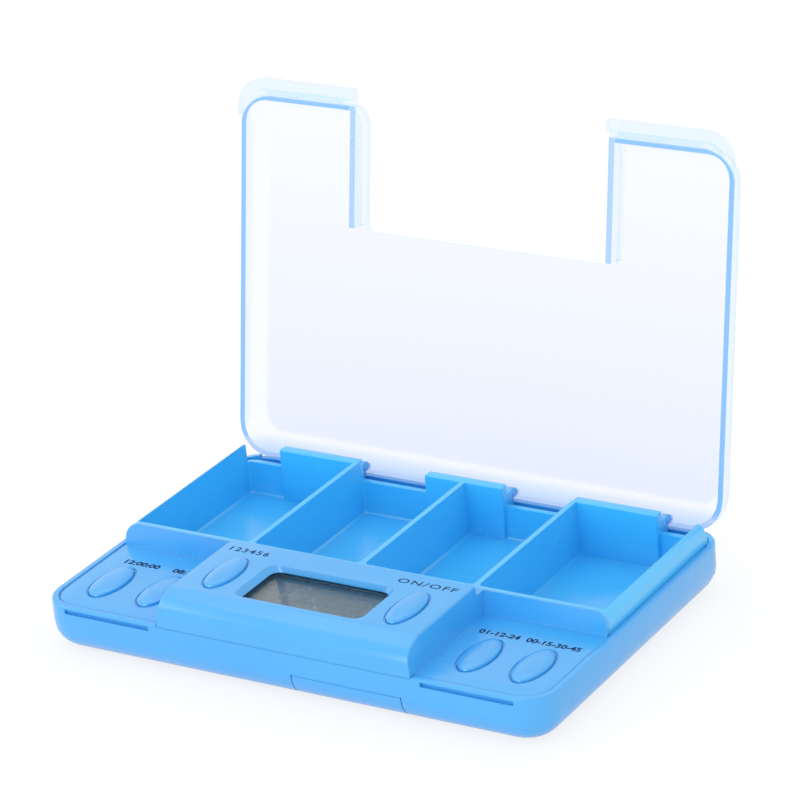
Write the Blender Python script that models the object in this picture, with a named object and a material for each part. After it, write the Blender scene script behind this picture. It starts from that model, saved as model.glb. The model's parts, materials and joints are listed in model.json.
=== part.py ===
"""Pill box with timer: a blue moulded case with four pill compartments, a raised display
console, six oval push buttons, a clear hinged lid and a battery door under the front edge.

The model stands on the ground plane, +Z up, with the front towards -Y and the right side
towards +X. Its origin is the centre of the flat underside. The lid stands open.
"""
import math

import bmesh
import bpy
from mathutils import Matrix, Vector

MM = 0.001
SAME_PLACE = 0.001 * MM
PARALLEL_SHARE = 0.999
SHARP_ANGLE = math.radians(28)
CROWN_ANGLE = math.radians(62)
CHIP_ANGLE = math.radians(75)

# General fits
SEAM_GAP = 0.25 * MM
SEAT_GAP = 0.1 * MM
RUNNING_GAP = 0.3 * MM
OVERRUN = 2.0 * MM
ROOT_OVERLAP = 0.2 * MM

# Whole case
BODY_DEPTH = 76.5 * MM
RIM_HEIGHT = 10.1 * MM
PLAN_RADIUS = 7.0 * MM
FOOT_RADIUS = 5.2 * MM
BASE_WALL = 1.25 * MM
RIM_ROUND = 0.35 * MM

# Latch slots under the front rim
SLOT_TOP = 9.5 * MM
SLOT_HEIGHT = 0.95 * MM
SLOT_DEPTH = 0.75 * MM
SLOT_CONSOLE_MARGIN = 2.0 * MM
SLOT_SIDE_MARGIN = 6.2 * MM

# Upper case: deck, tray and console in one moulding
DECK_DROP = 0.1 * MM
DECK_THICKNESS = 1.2 * MM
TRAY_CONSOLE_GAP = 1.6 * MM
TRAY_BACK_MARGIN = 3.5 * MM
TRAY_FRONT_LEAN = 1.1 * MM
TRAY_SIDE_ROUND = 3.0 * MM
TRAY_SIDE_SHORT = 2.0 * MM
TRAY_SIDE_STEP = 0.1 * MM
TRAY_END_ROUND = 1.3 * MM
TRAY_WALL = 1.2 * MM
TRAY_FLOOR_GAP = 0.65 * MM
TRAY_FLOOR_THICKNESS = 1.2 * MM
TRAY_CORNER_ROUND = 3.0 * MM
TRAY_SIDE_INSET = 3.3 * MM
TRAY_BACK_WALL = 1.4 * MM
TRAY_BACK_ROUND = 0.4 * MM
DIVIDER_THICKNESS = 1.0 * MM
OUTER_CELL_EXTRA = 5.3 * MM
CELL_DRAFT = 0.4 * MM
CELL_CORNER_ROUND = 0.9 * MM
CELL_FLOOR_ROUND = 1.5 * MM
REAR_LEDGE_DROP = 1.9 * MM
REAR_LEDGE_OVERLAP = 7.0 * MM
BACK_RELIEF = 0.6 * MM
BACK_RELIEF_SIDE = 4.2 * MM

# Tall tabs at the back of the tray, which hide the lid's hinges
TAB_THICKNESS = 2.4 * MM
TAB_PROUD = 0.1 * MM
TAB_LEAD = 2.7 * MM
TAB_WINDOW = 15.85 * MM
TAB_SIDE_MARGIN = 12.2 * MM
TAB_ROUND = 0.4 * MM
EAR_THICKNESS = 1.0 * MM
EAR_RADIUS = 1.0 * MM

# Console
CONSOLE_DRAFT = 0.7 * MM
CONSOLE_PROUD = 0.15 * MM
CONSOLE_TOP_FRONT = 4.95 * MM
CONSOLE_BROW_BACK = 1.8 * MM
CONSOLE_BROW_DROP = 1.1 * MM
CONSOLE_CHIN_BACK = 0.4 * MM
CONSOLE_CHIN_DROP = 2.3 * MM
CONSOLE_FACE_DROP = 3.7 * MM
CONSOLE_BACK = 26.6 * MM
CONSOLE_WALL = 1.25 * MM
CONSOLE_ROUND = 0.4 * MM
CONSOLE_RIM_CUT = 0.4 * MM

# Display window in the console
WINDOW_HALF = 15.9 * MM
WINDOW_FRONT = 6.1 * MM
WINDOW_BACK = 20.3 * MM
WINDOW_SIDE_RUN = 2.2 * MM
WINDOW_END_RUN = 0.3 * MM
WINDOW_CORNER = 1.7 * MM
WINDOW_BUTTON_MARGIN = 4.4 * MM
LENS_BORDER = 1.1 * MM
LENS_THICKNESS = 0.8 * MM
LCD_INSET = 0.2 * MM
LCD_THICKNESS = 1.1 * MM
LCD_STAND_OFF = 0.3 * MM
STRIP_HEIGHT = 1.65 * MM
STRIP_END = 1.6 * MM
HOLDER_WALL = 0.9 * MM
STRIP_WIDTH = 1.6 * MM

# Push buttons, oval, long side front to back
DECK_HOLE_HALF_WIDTH = 3.55 * MM
DECK_HOLE_HALF_LENGTH = 7.1 * MM
CONSOLE_HOLE_HALF_WIDTH = 3.2 * MM
CONSOLE_HOLE_HALF_LENGTH = 7.0 * MM
BUTTON_GAP = 0.45 * MM
BUTTON_PROUD = 0.9 * MM
BUTTON_CROWN = 0.8 * MM
BUTTON_TRAVEL = 0.5 * MM
BUTTON_FLANGE = 0.8 * MM
BUTTON_FLANGE_HEIGHT = 0.6 * MM
BUTTON_STEM_RADIUS = 1.5 * MM
CONSOLE_BUTTON_MARGIN = 7.9 * MM
DECK_BUTTON_MARGIN = 7.6 * MM
DECK_BUTTON_PITCH = 11.4 * MM
DECK_BUTTON_SIDE = 8.8 * MM
DECK_BUTTON_BACK = 12.8 * MM
CONSOLE_BUTTON_BACK = 13.6 * MM
DOME_RADIUS = 2.0 * MM
DOME_HEIGHT = 0.35 * MM
DOME_RIM = 0.12 * MM

# Main circuit board, under the deck and round the button cells
BOARD_THICKNESS = 1.0 * MM
KEY_ROOM = 2.4 * MM
BOARD_SIDE_MARGIN = 5.0 * MM
BOARD_TRAY_MARGIN = 1.8 * MM
BOARD_SCREW_MARGIN = 1.8 * MM
BOARD_SCREW_EDGE = 3.0 * MM
BOARD_FRONT = 3.4 * MM
BOARD_CORNER = 3.0 * MM
CHIP_X = -19.0 * MM
CHIP_BACK = 19.0 * MM
CHIP_RADIUS = 3.2 * MM
CHIP_HEIGHT = 1.1 * MM
CRYSTAL_X = -9.0 * MM
CRYSTAL_BACK = 9.0 * MM
CRYSTAL_RADIUS = 1.0 * MM
CRYSTAL_LENGTH = 6.0 * MM

# Display board, inside the console
DISPLAY_BOARD_THICKNESS = 1.0 * MM
DISPLAY_BOARD_GAP = 0.9 * MM
DISPLAY_SCREW_MARGIN = 4.0 * MM
DISPLAY_SCREW_BACK = 4.7 * MM
LINK_HALF_WIDTH = 5.5 * MM
LINK_HALF_DEPTH = 1.25 * MM
LINK_BAY_MARGIN = 1.8 * MM
LINK_BACK_MARGIN = 2.65 * MM

# Sounder, on the case floor
BUZZER_X = -14.0 * MM
BUZZER_BACK = 15.6 * MM
BUZZER_RADIUS = 9.0 * MM
BUZZER_THICKNESS = 0.3 * MM
CERAMIC_RADIUS = 6.5 * MM
CERAMIC_THICKNESS = 0.25 * MM
BUZZER_RING_WALL = 0.9 * MM
BUZZER_RING_HEIGHT = 1.6 * MM
SOUND_HOLE_RADIUS = 0.7 * MM
SOUND_HOLE_CIRCLE = 3.0 * MM
SOUND_HOLES = 6

# Button cells and their bay behind the battery door
CELL_RADIUS = 5.8 * MM
CELL_THICKNESS = 5.4 * MM
CELL_FRONT = 4.2 * MM
CELL_SLACK = 0.25 * MM
CELL_BACK_SLACK = 0.6 * MM
CELL_EDGE_ROUND = 0.4 * MM
BAY_START = 1.7 * MM
BAY_RIB = 1.0 * MM
BAY_RIB_BELOW_CELL = 1.1 * MM
BAY_ABOVE_FOOT = 0.25 * MM
CONTACT_THICKNESS = 0.25 * MM
CONTACT_WIDTH = 4.0 * MM
CONTACT_REACH = 8.0 * MM
CONTACT_FOOT = 3.0 * MM
CONTACT_RISE_LENGTH = 1.2 * MM
DOOR_GAP = 0.2 * MM
DOOR_TONGUE_WIDTH = 3.0 * MM
DOOR_TONGUE_ROOT = 1.0 * MM
DOOR_TONGUE_REACH = 1.2 * MM
DOOR_GRIP_PITCH = 1.4 * MM
DOOR_GRIP_DEPTH = 0.35 * MM
DOOR_GRIP_HALF_WIDTH = 6.0 * MM
DOOR_GRIP_START = 8.0 * MM
DOOR_GRIPS = 4

# Screws, all driven up from below
SCREW_FRONT = 7.0 * MM
SCREW_TRAY_MARGIN = 5.6 * MM
SCREW_END_MARGIN = 1.6 * MM
SCREW_RADIUS = 0.8 * MM
SCREW_HEAD_RADIUS = 1.6 * MM
SCREW_HEAD_HEIGHT = 0.9 * MM
SCREW_SINK = 1.4 * MM
SCREW_DRIVE_RADIUS = 0.6 * MM
SCREW_DRIVE_DEPTH = 0.5 * MM
SMALL_SCREW_LENGTH = 2.6 * MM
BOSS_RADIUS = 2.4 * MM
BOSS_BOARD_GAP = 1.0 * MM
POST_RADIUS = 1.7 * MM
BORE_CLEARANCE = 0.3 * MM
PILOT_CLEARANCE = 0.05 * MM

# Clear lid, drawn closed and turned open about its hinge
LID_CLOSED_GAP = 0.1 * MM
LID_HEIGHT = 6.15 * MM
LID_TRAY_GAP = 0.55 * MM
LID_CONSOLE_GAP = 0.4 * MM
LID_CONSOLE_SIDE_GAP = 0.55 * MM
LID_SKIRT = 0.05 * MM
LID_BACK_SKIRT = 0.65 * MM
LID_WALL = 1.1 * MM
LID_PANEL = 1.3 * MM
LID_SIDE_ROUND = 4.3 * MM
LID_FRONT_CORNER = 5.8 * MM
LID_BACK_CORNER = 7.0 * MM
LID_PANEL_CORNER = 2.6 * MM
LID_OPEN_DEGREES = 100.2
LID_NOTCH_CORNER = 1.6 * MM
LID_NOTCH_WALL = 1.25 * MM
LID_NOTCH_WALL_SHORT = 1.7 * MM
LIP_REACH = 3.5 * MM
LIP_THICKNESS = 2.3 * MM
LIP_BELOW = 1.4 * MM
LIP_ABOVE = 0.9 * MM
LIP_SIDE_INSET = 0.1 * MM
LIP_END = 5.0 * MM
LIP_ROUND = 0.9 * MM
LIP_CASE_GAP = 0.35 * MM
CATCH_HEIGHT = 0.8 * MM
CATCH_END_MARGIN = 1.0 * MM
CATCH_SIDE_MARGIN = 0.5 * MM
CATCH_ABOVE_LIP = 0.15 * MM
CATCH_PROUD = 0.9 * MM
HINGE_FROM_BACK = 1.13 * MM
HINGE_ABOVE_RIM = 1.45 * MM
HINGE_PIN_RADIUS = 0.55 * MM
HINGE_PIN_CLEARANCE = 0.1 * MM
HINGE_LUG_RADIUS = 1.0 * MM
HINGE_LUG_MARGIN = 2.35 * MM
HINGE_SLOT_FRONT = 3.4 * MM

# Facets
ROUND_SEGMENTS = 5
SMALL_SEGMENTS = 3
TURN_SEGMENTS = 28
PIN_SEGMENTS = 10
CROWN_STEPS = 4
LID_STEPS = 8

# What follows across the width, from the display outwards
CONSOLE_BUTTON_SIDE = WINDOW_HALF + WINDOW_BUTTON_MARGIN
CONSOLE_HALF = CONSOLE_BUTTON_SIDE + CONSOLE_BUTTON_MARGIN
DECK_BUTTON_INNER = CONSOLE_HALF + DECK_BUTTON_MARGIN
DECK_BUTTON_OUTER = DECK_BUTTON_INNER + DECK_BUTTON_PITCH
HALF_WIDTH = DECK_BUTTON_OUTER + DECK_BUTTON_SIDE
SCREW_X = (DECK_BUTTON_INNER + DECK_BUTTON_OUTER) / 2
DIVIDER_PITCH = (HALF_WIDTH - OUTER_CELL_EXTRA) / 2
TAB_INNER_END = DIVIDER_PITCH - DIVIDER_THICKNESS / 2
TAB_MIDDLE_HALF = TAB_INNER_END - TAB_WINDOW
TAB_OUTER_END = HALF_WIDTH - TAB_SIDE_MARGIN
BACK_RELIEF_HALF = HALF_WIDTH - BACK_RELIEF_SIDE
BOARD_HALF = HALF_WIDTH - BOARD_SIDE_MARGIN
BOARD_SCREW_X = CONSOLE_HALF + BOARD_SCREW_MARGIN
DISPLAY_SCREW_X = CONSOLE_HALF - DISPLAY_SCREW_MARGIN
SLOT_START = CONSOLE_HALF + SLOT_CONSOLE_MARGIN
SLOT_LENGTH = HALF_WIDTH - SLOT_SIDE_MARGIN - SLOT_START
CATCH_START = SLOT_START + CATCH_END_MARGIN
CATCH_LENGTH = SLOT_LENGTH - CATCH_END_MARGIN - CATCH_SIDE_MARGIN
LID_NOTCH_HALF = CONSOLE_HALF + LID_CONSOLE_SIDE_GAP
WINDOW_DEEP_HALF = WINDOW_HALF - WINDOW_SIDE_RUN
LCD_HALF = WINDOW_DEEP_HALF + LENS_BORDER - LCD_INSET
STRIP_HALF = LCD_HALF - STRIP_END
BAY_WIDTH = 4 * (CELL_RADIUS + CELL_SLACK)
BAY_END = BAY_START + BAY_WIDTH
BAY_MIDDLE = BAY_START + BAY_WIDTH / 2
CELL_OFFSET = BAY_WIDTH / 4
HINGE_OUTER_LUG_START = TAB_INNER_END + HINGE_LUG_MARGIN

# What follows from front to back
HALF_DEPTH = BODY_DEPTH / 2
CASE_INSET = BASE_WALL + SEAM_GAP
TRAY_FRONT = CONSOLE_BACK + TRAY_CONSOLE_GAP
TRAY_BACK = BODY_DEPTH - TRAY_BACK_MARGIN
TRAY_SIDE_END = TRAY_BACK - TRAY_SIDE_SHORT
TAB_FRONT = TRAY_BACK - TAB_LEAD
TAB_BACK = TAB_FRONT + TAB_THICKNESS
REAR_LEDGE_START = TRAY_BACK - REAR_LEDGE_OVERLAP
HINGE_Y = HALF_DEPTH - HINGE_FROM_BACK
LID_NOTCH_DEPTH = CONSOLE_BACK + LID_CONSOLE_GAP
LID_NOTCH_WALL_END = LID_NOTCH_DEPTH - LID_NOTCH_WALL_SHORT
LCD_FRONT = WINDOW_FRONT + WINDOW_END_RUN - LENS_BORDER + LCD_INSET
LCD_BACK = WINDOW_BACK - WINDOW_END_RUN + LENS_BORDER - LCD_INSET
BOARD_BACK = TRAY_FRONT - BOARD_TRAY_MARGIN
BOARD_SCREW_BACK = BOARD_BACK - BOARD_SCREW_EDGE
SCREW_BACK = TRAY_FRONT - SCREW_TRAY_MARGIN
CELL_BACK = CELL_FRONT + CELL_RADIUS
BAY_DEPTH = CELL_BACK + CELL_RADIUS + CELL_BACK_SLACK
DISPLAY_BOARD_BACK = CONSOLE_BACK - CONSOLE_WALL - DISPLAY_BOARD_GAP
LINK_X = BAY_START - SEAM_GAP - BAY_RIB - LINK_BAY_MARGIN - LINK_HALF_WIDTH
LINK_BACK = DISPLAY_BOARD_BACK - LINK_BACK_MARGIN
LIP_FRONT = -LIP_REACH

# What follows from the underside upwards
DECK_TOP = RIM_HEIGHT - DECK_DROP
DECK_BOTTOM = DECK_TOP - DECK_THICKNESS
HINGE_Z = RIM_HEIGHT + HINGE_ABOVE_RIM
LID_BOTTOM = RIM_HEIGHT + LID_CLOSED_GAP
LID_TOP = LID_BOTTOM + LID_HEIGHT
LID_FRONT_ROUND = LID_HEIGHT - LID_SKIRT
LID_BACK_ROUND = LID_HEIGHT - LID_BACK_SKIRT
LIP_BOTTOM = RIM_HEIGHT - LIP_BELOW
LIP_TOP = LID_BOTTOM + LIP_ABOVE
TRAY_FLOOR = BASE_WALL + TRAY_FLOOR_GAP + TRAY_FLOOR_THICKNESS
TRAY_HEIGHT = LID_TOP - LID_PANEL - LID_TRAY_GAP
TRAY_BACK_TOP = RIM_HEIGHT
REAR_LEDGE_TOP = RIM_HEIGHT - REAR_LEDGE_DROP
CONSOLE_TOP = LID_TOP + CONSOLE_PROUD
CONSOLE_FOOT = RIM_HEIGHT - CONSOLE_RIM_CUT + SEAM_GAP
CONSOLE_ROOF = CONSOLE_TOP - CONSOLE_WALL
LENS_TOP = CONSOLE_ROOF - SEAT_GAP
LENS_BOTTOM = LENS_TOP - LENS_THICKNESS
LCD_TOP = LENS_BOTTOM - LCD_STAND_OFF
LCD_BOTTOM = LCD_TOP - LCD_THICKNESS
DISPLAY_BOARD_TOP = LCD_BOTTOM - SEAT_GAP - STRIP_HEIGHT - SEAT_GAP
DISPLAY_BOARD_BOTTOM = DISPLAY_BOARD_TOP - DISPLAY_BOARD_THICKNESS
BOARD_TOP = DECK_BOTTOM - KEY_ROOM
BOARD_BOTTOM = BOARD_TOP - BOARD_THICKNESS
BOSS_TOP = BOARD_BOTTOM - BOSS_BOARD_GAP
SCREW_LENGTH = DECK_BOTTOM - SCREW_SINK - SCREW_END_MARGIN
BRIDGE_BOTTOM = BASE_WALL + SEAT_GAP
CELL_BOTTOM = BRIDGE_BOTTOM + CONTACT_THICKNESS + SEAT_GAP
CELL_TOP = CELL_BOTTOM + CELL_THICKNESS
BAY_RIB_TOP = CELL_TOP - BAY_RIB_BELOW_CELL
BAY_TOP = FOOT_RADIUS + BAY_ABOVE_FOOT


def from_front(distance):
    """Y of a point that lies this far behind the front face."""
    return distance - HALF_DEPTH


def clear_scene():
    for old in list(bpy.data.objects):
        bpy.data.objects.remove(old, do_unlink=True)
    for old in list(bpy.data.meshes):
        bpy.data.meshes.remove(old)


def collection(name):
    made = bpy.data.collections.new(name)
    bpy.context.scene.collection.children.link(made)
    return made


def material(name, colour, roughness, metallic=0.0, alpha=1.0, transmission=0.0):
    made = bpy.data.materials.new(name)
    made.use_nodes = True
    made.diffuse_color = (*colour, alpha)
    shader = made.node_tree.nodes["Principled BSDF"]
    shader.inputs["Base Color"].default_value = (*colour, 1.0)
    shader.inputs["Roughness"].default_value = roughness
    shader.inputs["Metallic"].default_value = metallic
    shader.inputs["Alpha"].default_value = alpha
    shader.inputs["Transmission Weight"].default_value = transmission
    return made


def span_of(edge, axis):
    values = [vertex.co[axis] for vertex in edge.verts]
    return min(values), max(values)


def runs_along(edge, axis):
    """True where the edge is parallel to the axis."""
    first, second = edge.verts
    span = second.co - first.co
    return abs(span[axis]) > PARALLEL_SHARE * span.length


def lies_at(edge, axis, value):
    low, high = span_of(edge, axis)
    return abs(low - value) < SAME_PLACE and abs(high - value) < SAME_PLACE


def box(low, high):
    """A block between two corners."""
    made = bmesh.new()
    bmesh.ops.create_cube(made, size=1.0)
    for vertex in made.verts:
        for axis in range(3):
            vertex.co[axis] = high[axis] if vertex.co[axis] > 0 else low[axis]
    return made


def block(left, right, front, back, bottom, top):
    """A block whose front and back are counted from the front face."""
    return box((left, from_front(front), bottom), (right, from_front(back), top))


def cylinder(radius, bottom, top, centre=(0.0, 0.0), segments=PIN_SEGMENTS):
    """A cylinder along Z."""
    made = bmesh.new()
    middle = Matrix.Translation((centre[0], centre[1], (bottom + top) / 2))
    bmesh.ops.create_cone(made, cap_ends=True, segments=segments, radius1=radius, radius2=radius,
                          depth=top - bottom, matrix=middle)
    return made


def cross_cylinder(radius, left, right, y, z):
    """A cylinder along X, with a facet rather than an edge on top."""
    made = bmesh.new()
    turn = Matrix.Rotation(math.pi / 2, 4, 'Y') @ Matrix.Rotation(math.pi / PIN_SEGMENTS, 4, 'Z')
    middle = Matrix.Translation(((left + right) / 2, y, z)) @ turn
    bmesh.ops.create_cone(made, cap_ends=True, segments=PIN_SEGMENTS, radius1=radius, radius2=radius,
                          depth=right - left, matrix=middle)
    return made


def loft(rings):
    """A closed skin over rings of points, all with the same number of points, from bottom to top."""
    made = bmesh.new()
    levels = [[made.verts.new(point) for point in ring] for ring in rings]
    count = len(rings[0])
    for lower, upper in zip(levels, levels[1:]):
        for index in range(count):
            after = (index + 1) % count
            made.faces.new((lower[index], lower[after], upper[after], upper[index]))
    made.faces.new(list(reversed(levels[0])))
    made.faces.new(levels[-1])
    return made


def oval_ring(half_width, half_length, height, centre, segments=TURN_SEGMENTS):
    """Points of an ellipse that lies level."""
    points = []
    for index in range(segments):
        angle = math.tau * index / segments
        x = centre[0] + half_width * math.cos(angle)
        y = centre[1] + half_length * math.sin(angle)
        points.append((x, y, height))
    return points


def prism(outline, left, right):
    """A block along X whose side outline is given as (distance behind the front face, height)."""
    made = bmesh.new()
    ring = [made.verts.new((left, from_front(distance), height)) for distance, height in outline]
    face = made.faces.new(ring)
    grown = bmesh.ops.extrude_face_region(made, geom=[face])
    moved = [item for item in grown["geom"] if isinstance(item, bmesh.types.BMVert)]
    bmesh.ops.translate(made, verts=moved, vec=(right - left, 0.0, 0.0))
    bmesh.ops.recalc_face_normals(made, faces=made.faces)
    return made


def round_edges(mesh, test, radius, segments=SMALL_SEGMENTS):
    chosen = [edge for edge in mesh.edges if test(edge)]
    bmesh.ops.bevel(mesh, geom=chosen, offset=radius, offset_type='OFFSET', segments=segments,
                    profile=0.5, affect='EDGES', clamp_overlap=True)
    return mesh


def round_upright(mesh, radius, segments=SMALL_SEGMENTS):
    return round_edges(mesh, lambda edge: runs_along(edge, 2), radius, segments)


def round_level(mesh, height, radius, segments=SMALL_SEGMENTS):
    return round_edges(mesh, lambda edge: lies_at(edge, 2, height), radius, segments)


def put(mesh, name, group, finish=None, origin=(0.0, 0.0, 0.0)):
    """Makes an object of the drawn mesh, with its origin where given."""
    bmesh.ops.translate(mesh, verts=mesh.verts, vec=-Vector(origin))
    bmesh.ops.remove_doubles(mesh, verts=mesh.verts, dist=SAME_PLACE)
    bmesh.ops.recalc_face_normals(mesh, faces=mesh.faces)
    data = bpy.data.meshes.new(name)
    mesh.to_mesh(data)
    mesh.free()
    data.shade_smooth()
    data.set_sharp_from_angle(angle=SHARP_ANGLE)
    made = bpy.data.objects.new(name, data)
    made.location = origin
    if finish is not None:
        data.materials.append(finish)
    group.objects.link(made)
    return made


def combine(target, tool, operation):
    """Adds a Boolean step, whose tool stays in the scene as a hidden guide."""
    tool.hide_render = True
    tool.display_type = 'WIRE'
    step = target.modifiers.new(tool.name, 'BOOLEAN')
    step.operation = operation
    step.solver = 'EXACT'
    step.object = tool
    return target


class Workshop:
    """The object's collection, the collection of its cutters, and its finishes."""

    def __init__(self):
        self.parts = collection("pill_box_with_timer")
        self.cutters = collection("cutters")
        self.blue = material("blue_plastic", (0.09, 0.42, 0.93), 0.28)
        self.key_blue = material("button_plastic", (0.10, 0.44, 0.94), 0.3)
        self.clear = material("clear_plastic", (0.76, 0.87, 1.0), 0.08, alpha=0.35, transmission=0.9)
        self.lens = material("window_plastic", (0.9, 0.94, 0.95), 0.05, alpha=0.3, transmission=0.9)
        self.lcd = material("display_glass", (0.23, 0.27, 0.25), 0.2)
        self.rubber = material("silicone_rubber", (0.55, 0.55, 0.57), 0.6)
        self.white = material("white_plastic", (0.8, 0.8, 0.8), 0.4)
        self.dark = material("black_plastic", (0.02, 0.02, 0.025), 0.45)
        self.board = material("circuit_board", (0.03, 0.22, 0.08), 0.5)
        self.steel = material("steel", (0.62, 0.62, 0.64), 0.3, metallic=1.0)
        self.brass = material("brass", (0.72, 0.53, 0.2), 0.35, metallic=1.0)
        self.ceramic = material("ceramic", (0.75, 0.73, 0.66), 0.5)

    def part(self, mesh, name, finish, origin=(0.0, 0.0, 0.0)):
        return put(mesh, name, self.parts, finish, origin)

    def cutter(self, mesh, name):
        return put(mesh, name, self.cutters)

    def cut(self, target, mesh, name):
        return combine(target, self.cutter(mesh, name), 'DIFFERENCE')

    def join(self, target, mesh, name):
        return combine(target, self.cutter(mesh, name), 'UNION')

    def keep(self, target, mesh, name):
        return combine(target, self.cutter(mesh, name), 'INTERSECT')


def case_block(inset, bottom, top, foot_radius):
    """The case's rounded block, drawn in all round, with a rounded bottom edge if asked."""
    side, end = HALF_WIDTH - inset, HALF_DEPTH - inset
    made = box((-side, -end, bottom), (side, end, top))
    round_upright(made, PLAN_RADIUS - inset, ROUND_SEGMENTS)
    if foot_radius > 0:
        round_level(made, bottom, foot_radius, ROUND_SEGMENTS)
    return made


def case_shell(shop, name):
    """The open shell that the base and its battery door are both cut from."""
    outer = case_block(0.0, 0.0, RIM_HEIGHT, FOOT_RADIUS)
    round_level(outer, RIM_HEIGHT, RIM_ROUND)
    shell = shop.part(outer, name, shop.blue)
    inner = case_block(BASE_WALL, BASE_WALL, RIM_HEIGHT + OVERRUN, FOOT_RADIUS - BASE_WALL)
    return shop.cut(shell, inner, name + "_hollow")


def case_screw_places():
    """Name and place of each case screw."""
    for end, distance in (("front", SCREW_FRONT), ("back", SCREW_BACK)):
        for side, sign in (("left", -1), ("right", 1)):
            yield f"{end}_{side}", (sign * SCREW_X, from_front(distance))


def board_screw_places():
    for side, sign in (("left", -1), ("right", 1)):
        yield side, (sign * BOARD_SCREW_X, from_front(BOARD_SCREW_BACK))


def display_screw_places():
    for side, sign in (("left", -1), ("right", 1)):
        yield side, (sign * DISPLAY_SCREW_X, from_front(DISPLAY_SCREW_BACK))


def bay_rib(left, right, front, back):
    """An upright rib of the cell bay, whose lower front edge follows the case's rounded foot."""
    low = BASE_WALL - ROOT_OVERLAP
    rib = block(left, right, front, back, low, BAY_RIB_TOP)
    if front < BASE_WALL:
        near = from_front(front)
        round_edges(rib, lambda edge: lies_at(edge, 2, low) and lies_at(edge, 1, near),
                    FOOT_RADIUS - low, ROUND_SEGMENTS)
    return rib


def tongue_spans():
    """Left and right side of each of the battery door's two tongues."""
    near = BAY_START + DOOR_GAP + SEAM_GAP
    far = BAY_END - DOOR_GAP - SEAM_GAP
    return [("left", near, near + DOOR_TONGUE_WIDTH), ("right", far - DOOR_TONGUE_WIDTH, far)]


def make_base(shop):
    base = case_shell(shop, "base_shell")
    for name, left in (("left", -SLOT_START - SLOT_LENGTH), ("right", SLOT_START)):
        slot = block(left, left + SLOT_LENGTH, -OVERRUN, SLOT_DEPTH, SLOT_TOP - SLOT_HEIGHT, SLOT_TOP)
        shop.cut(base, slot, "latch_slot_" + name)
    seat = CONSOLE_HALF + SEAM_GAP
    room = block(-seat, seat, -OVERRUN, CASE_INSET, RIM_HEIGHT - CONSOLE_RIM_CUT, RIM_HEIGHT + OVERRUN)
    shop.cut(base, room, "console_seat")
    relief = block(-BACK_RELIEF_HALF, BACK_RELIEF_HALF, TRAY_BACK, BODY_DEPTH + OVERRUN,
                   RIM_HEIGHT - BACK_RELIEF, RIM_HEIGHT + OVERRUN)
    shop.cut(base, relief, "hinge_relief")
    add_battery_bay(shop, base)
    add_sounder_seat(shop, base)
    for name, centre in case_screw_places():
        boss = cylinder(BOSS_RADIUS, BASE_WALL - ROOT_OVERLAP, BOSS_TOP, centre)
        bore = cylinder(SCREW_RADIUS + BORE_CLEARANCE, -OVERRUN, BOSS_TOP + OVERRUN, centre)
        sink = cylinder(SCREW_HEAD_RADIUS + BORE_CLEARANCE, -OVERRUN, SCREW_SINK, centre)
        shop.join(base, boss, "boss_" + name)
        shop.cut(base, bore, "bore_" + name)
        shop.cut(base, sink, "sink_" + name)
    return base


def add_battery_bay(shop, base):
    """Ribs round the button cells, the opening for the door and the slots for its tongues."""
    inner = BASE_WALL - ROOT_OVERLAP
    left_rib, right_rib = BAY_START - SEAM_GAP, BAY_END + SEAM_GAP
    back_rib = BAY_DEPTH + SEAM_GAP
    end, half = back_rib + BAY_RIB, BAY_RIB / 2
    shop.join(base, bay_rib(left_rib - BAY_RIB, left_rib, inner, end), "bay_rib_left")
    shop.join(base, bay_rib(right_rib, right_rib + BAY_RIB, inner, end), "bay_rib_right")
    shop.join(base, bay_rib(left_rib - half, right_rib + half, back_rib, end), "bay_rib_back")
    opening = block(BAY_START, BAY_END, -OVERRUN, BAY_DEPTH, -OVERRUN, BAY_TOP)
    shop.cut(base, opening, "battery_opening")
    for name, left, right in tongue_spans():
        slot = block(left - SEAM_GAP, right + SEAM_GAP, BAY_DEPTH - SEAT_GAP,
                     BAY_DEPTH + DOOR_TONGUE_REACH + SEAM_GAP, BASE_WALL / 2, BASE_WALL + SEAM_GAP)
        shop.cut(base, slot, "tongue_slot_" + name)


def add_sounder_seat(shop, base):
    """A ring round the sounder and the holes that let its sound out."""
    centre = (BUZZER_X, from_front(BUZZER_BACK))
    inner = BUZZER_RADIUS + RUNNING_GAP
    low, high = BASE_WALL, BASE_WALL + BUZZER_RING_HEIGHT
    ring = cylinder(inner + BUZZER_RING_WALL, low - ROOT_OVERLAP, high, centre, TURN_SEGMENTS)
    shop.join(base, ring, "sounder_ring")
    shop.cut(base, cylinder(inner, low, high + OVERRUN, centre, TURN_SEGMENTS), "sounder_seat")
    for index in range(SOUND_HOLES):
        angle = math.tau * index / SOUND_HOLES
        x = centre[0] + SOUND_HOLE_CIRCLE * math.cos(angle)
        y = centre[1] + SOUND_HOLE_CIRCLE * math.sin(angle)
        hole = cylinder(SOUND_HOLE_RADIUS, -OVERRUN, BASE_WALL + OVERRUN, (x, y))
        shop.cut(base, hole, f"sound_hole_{index + 1}")


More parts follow.
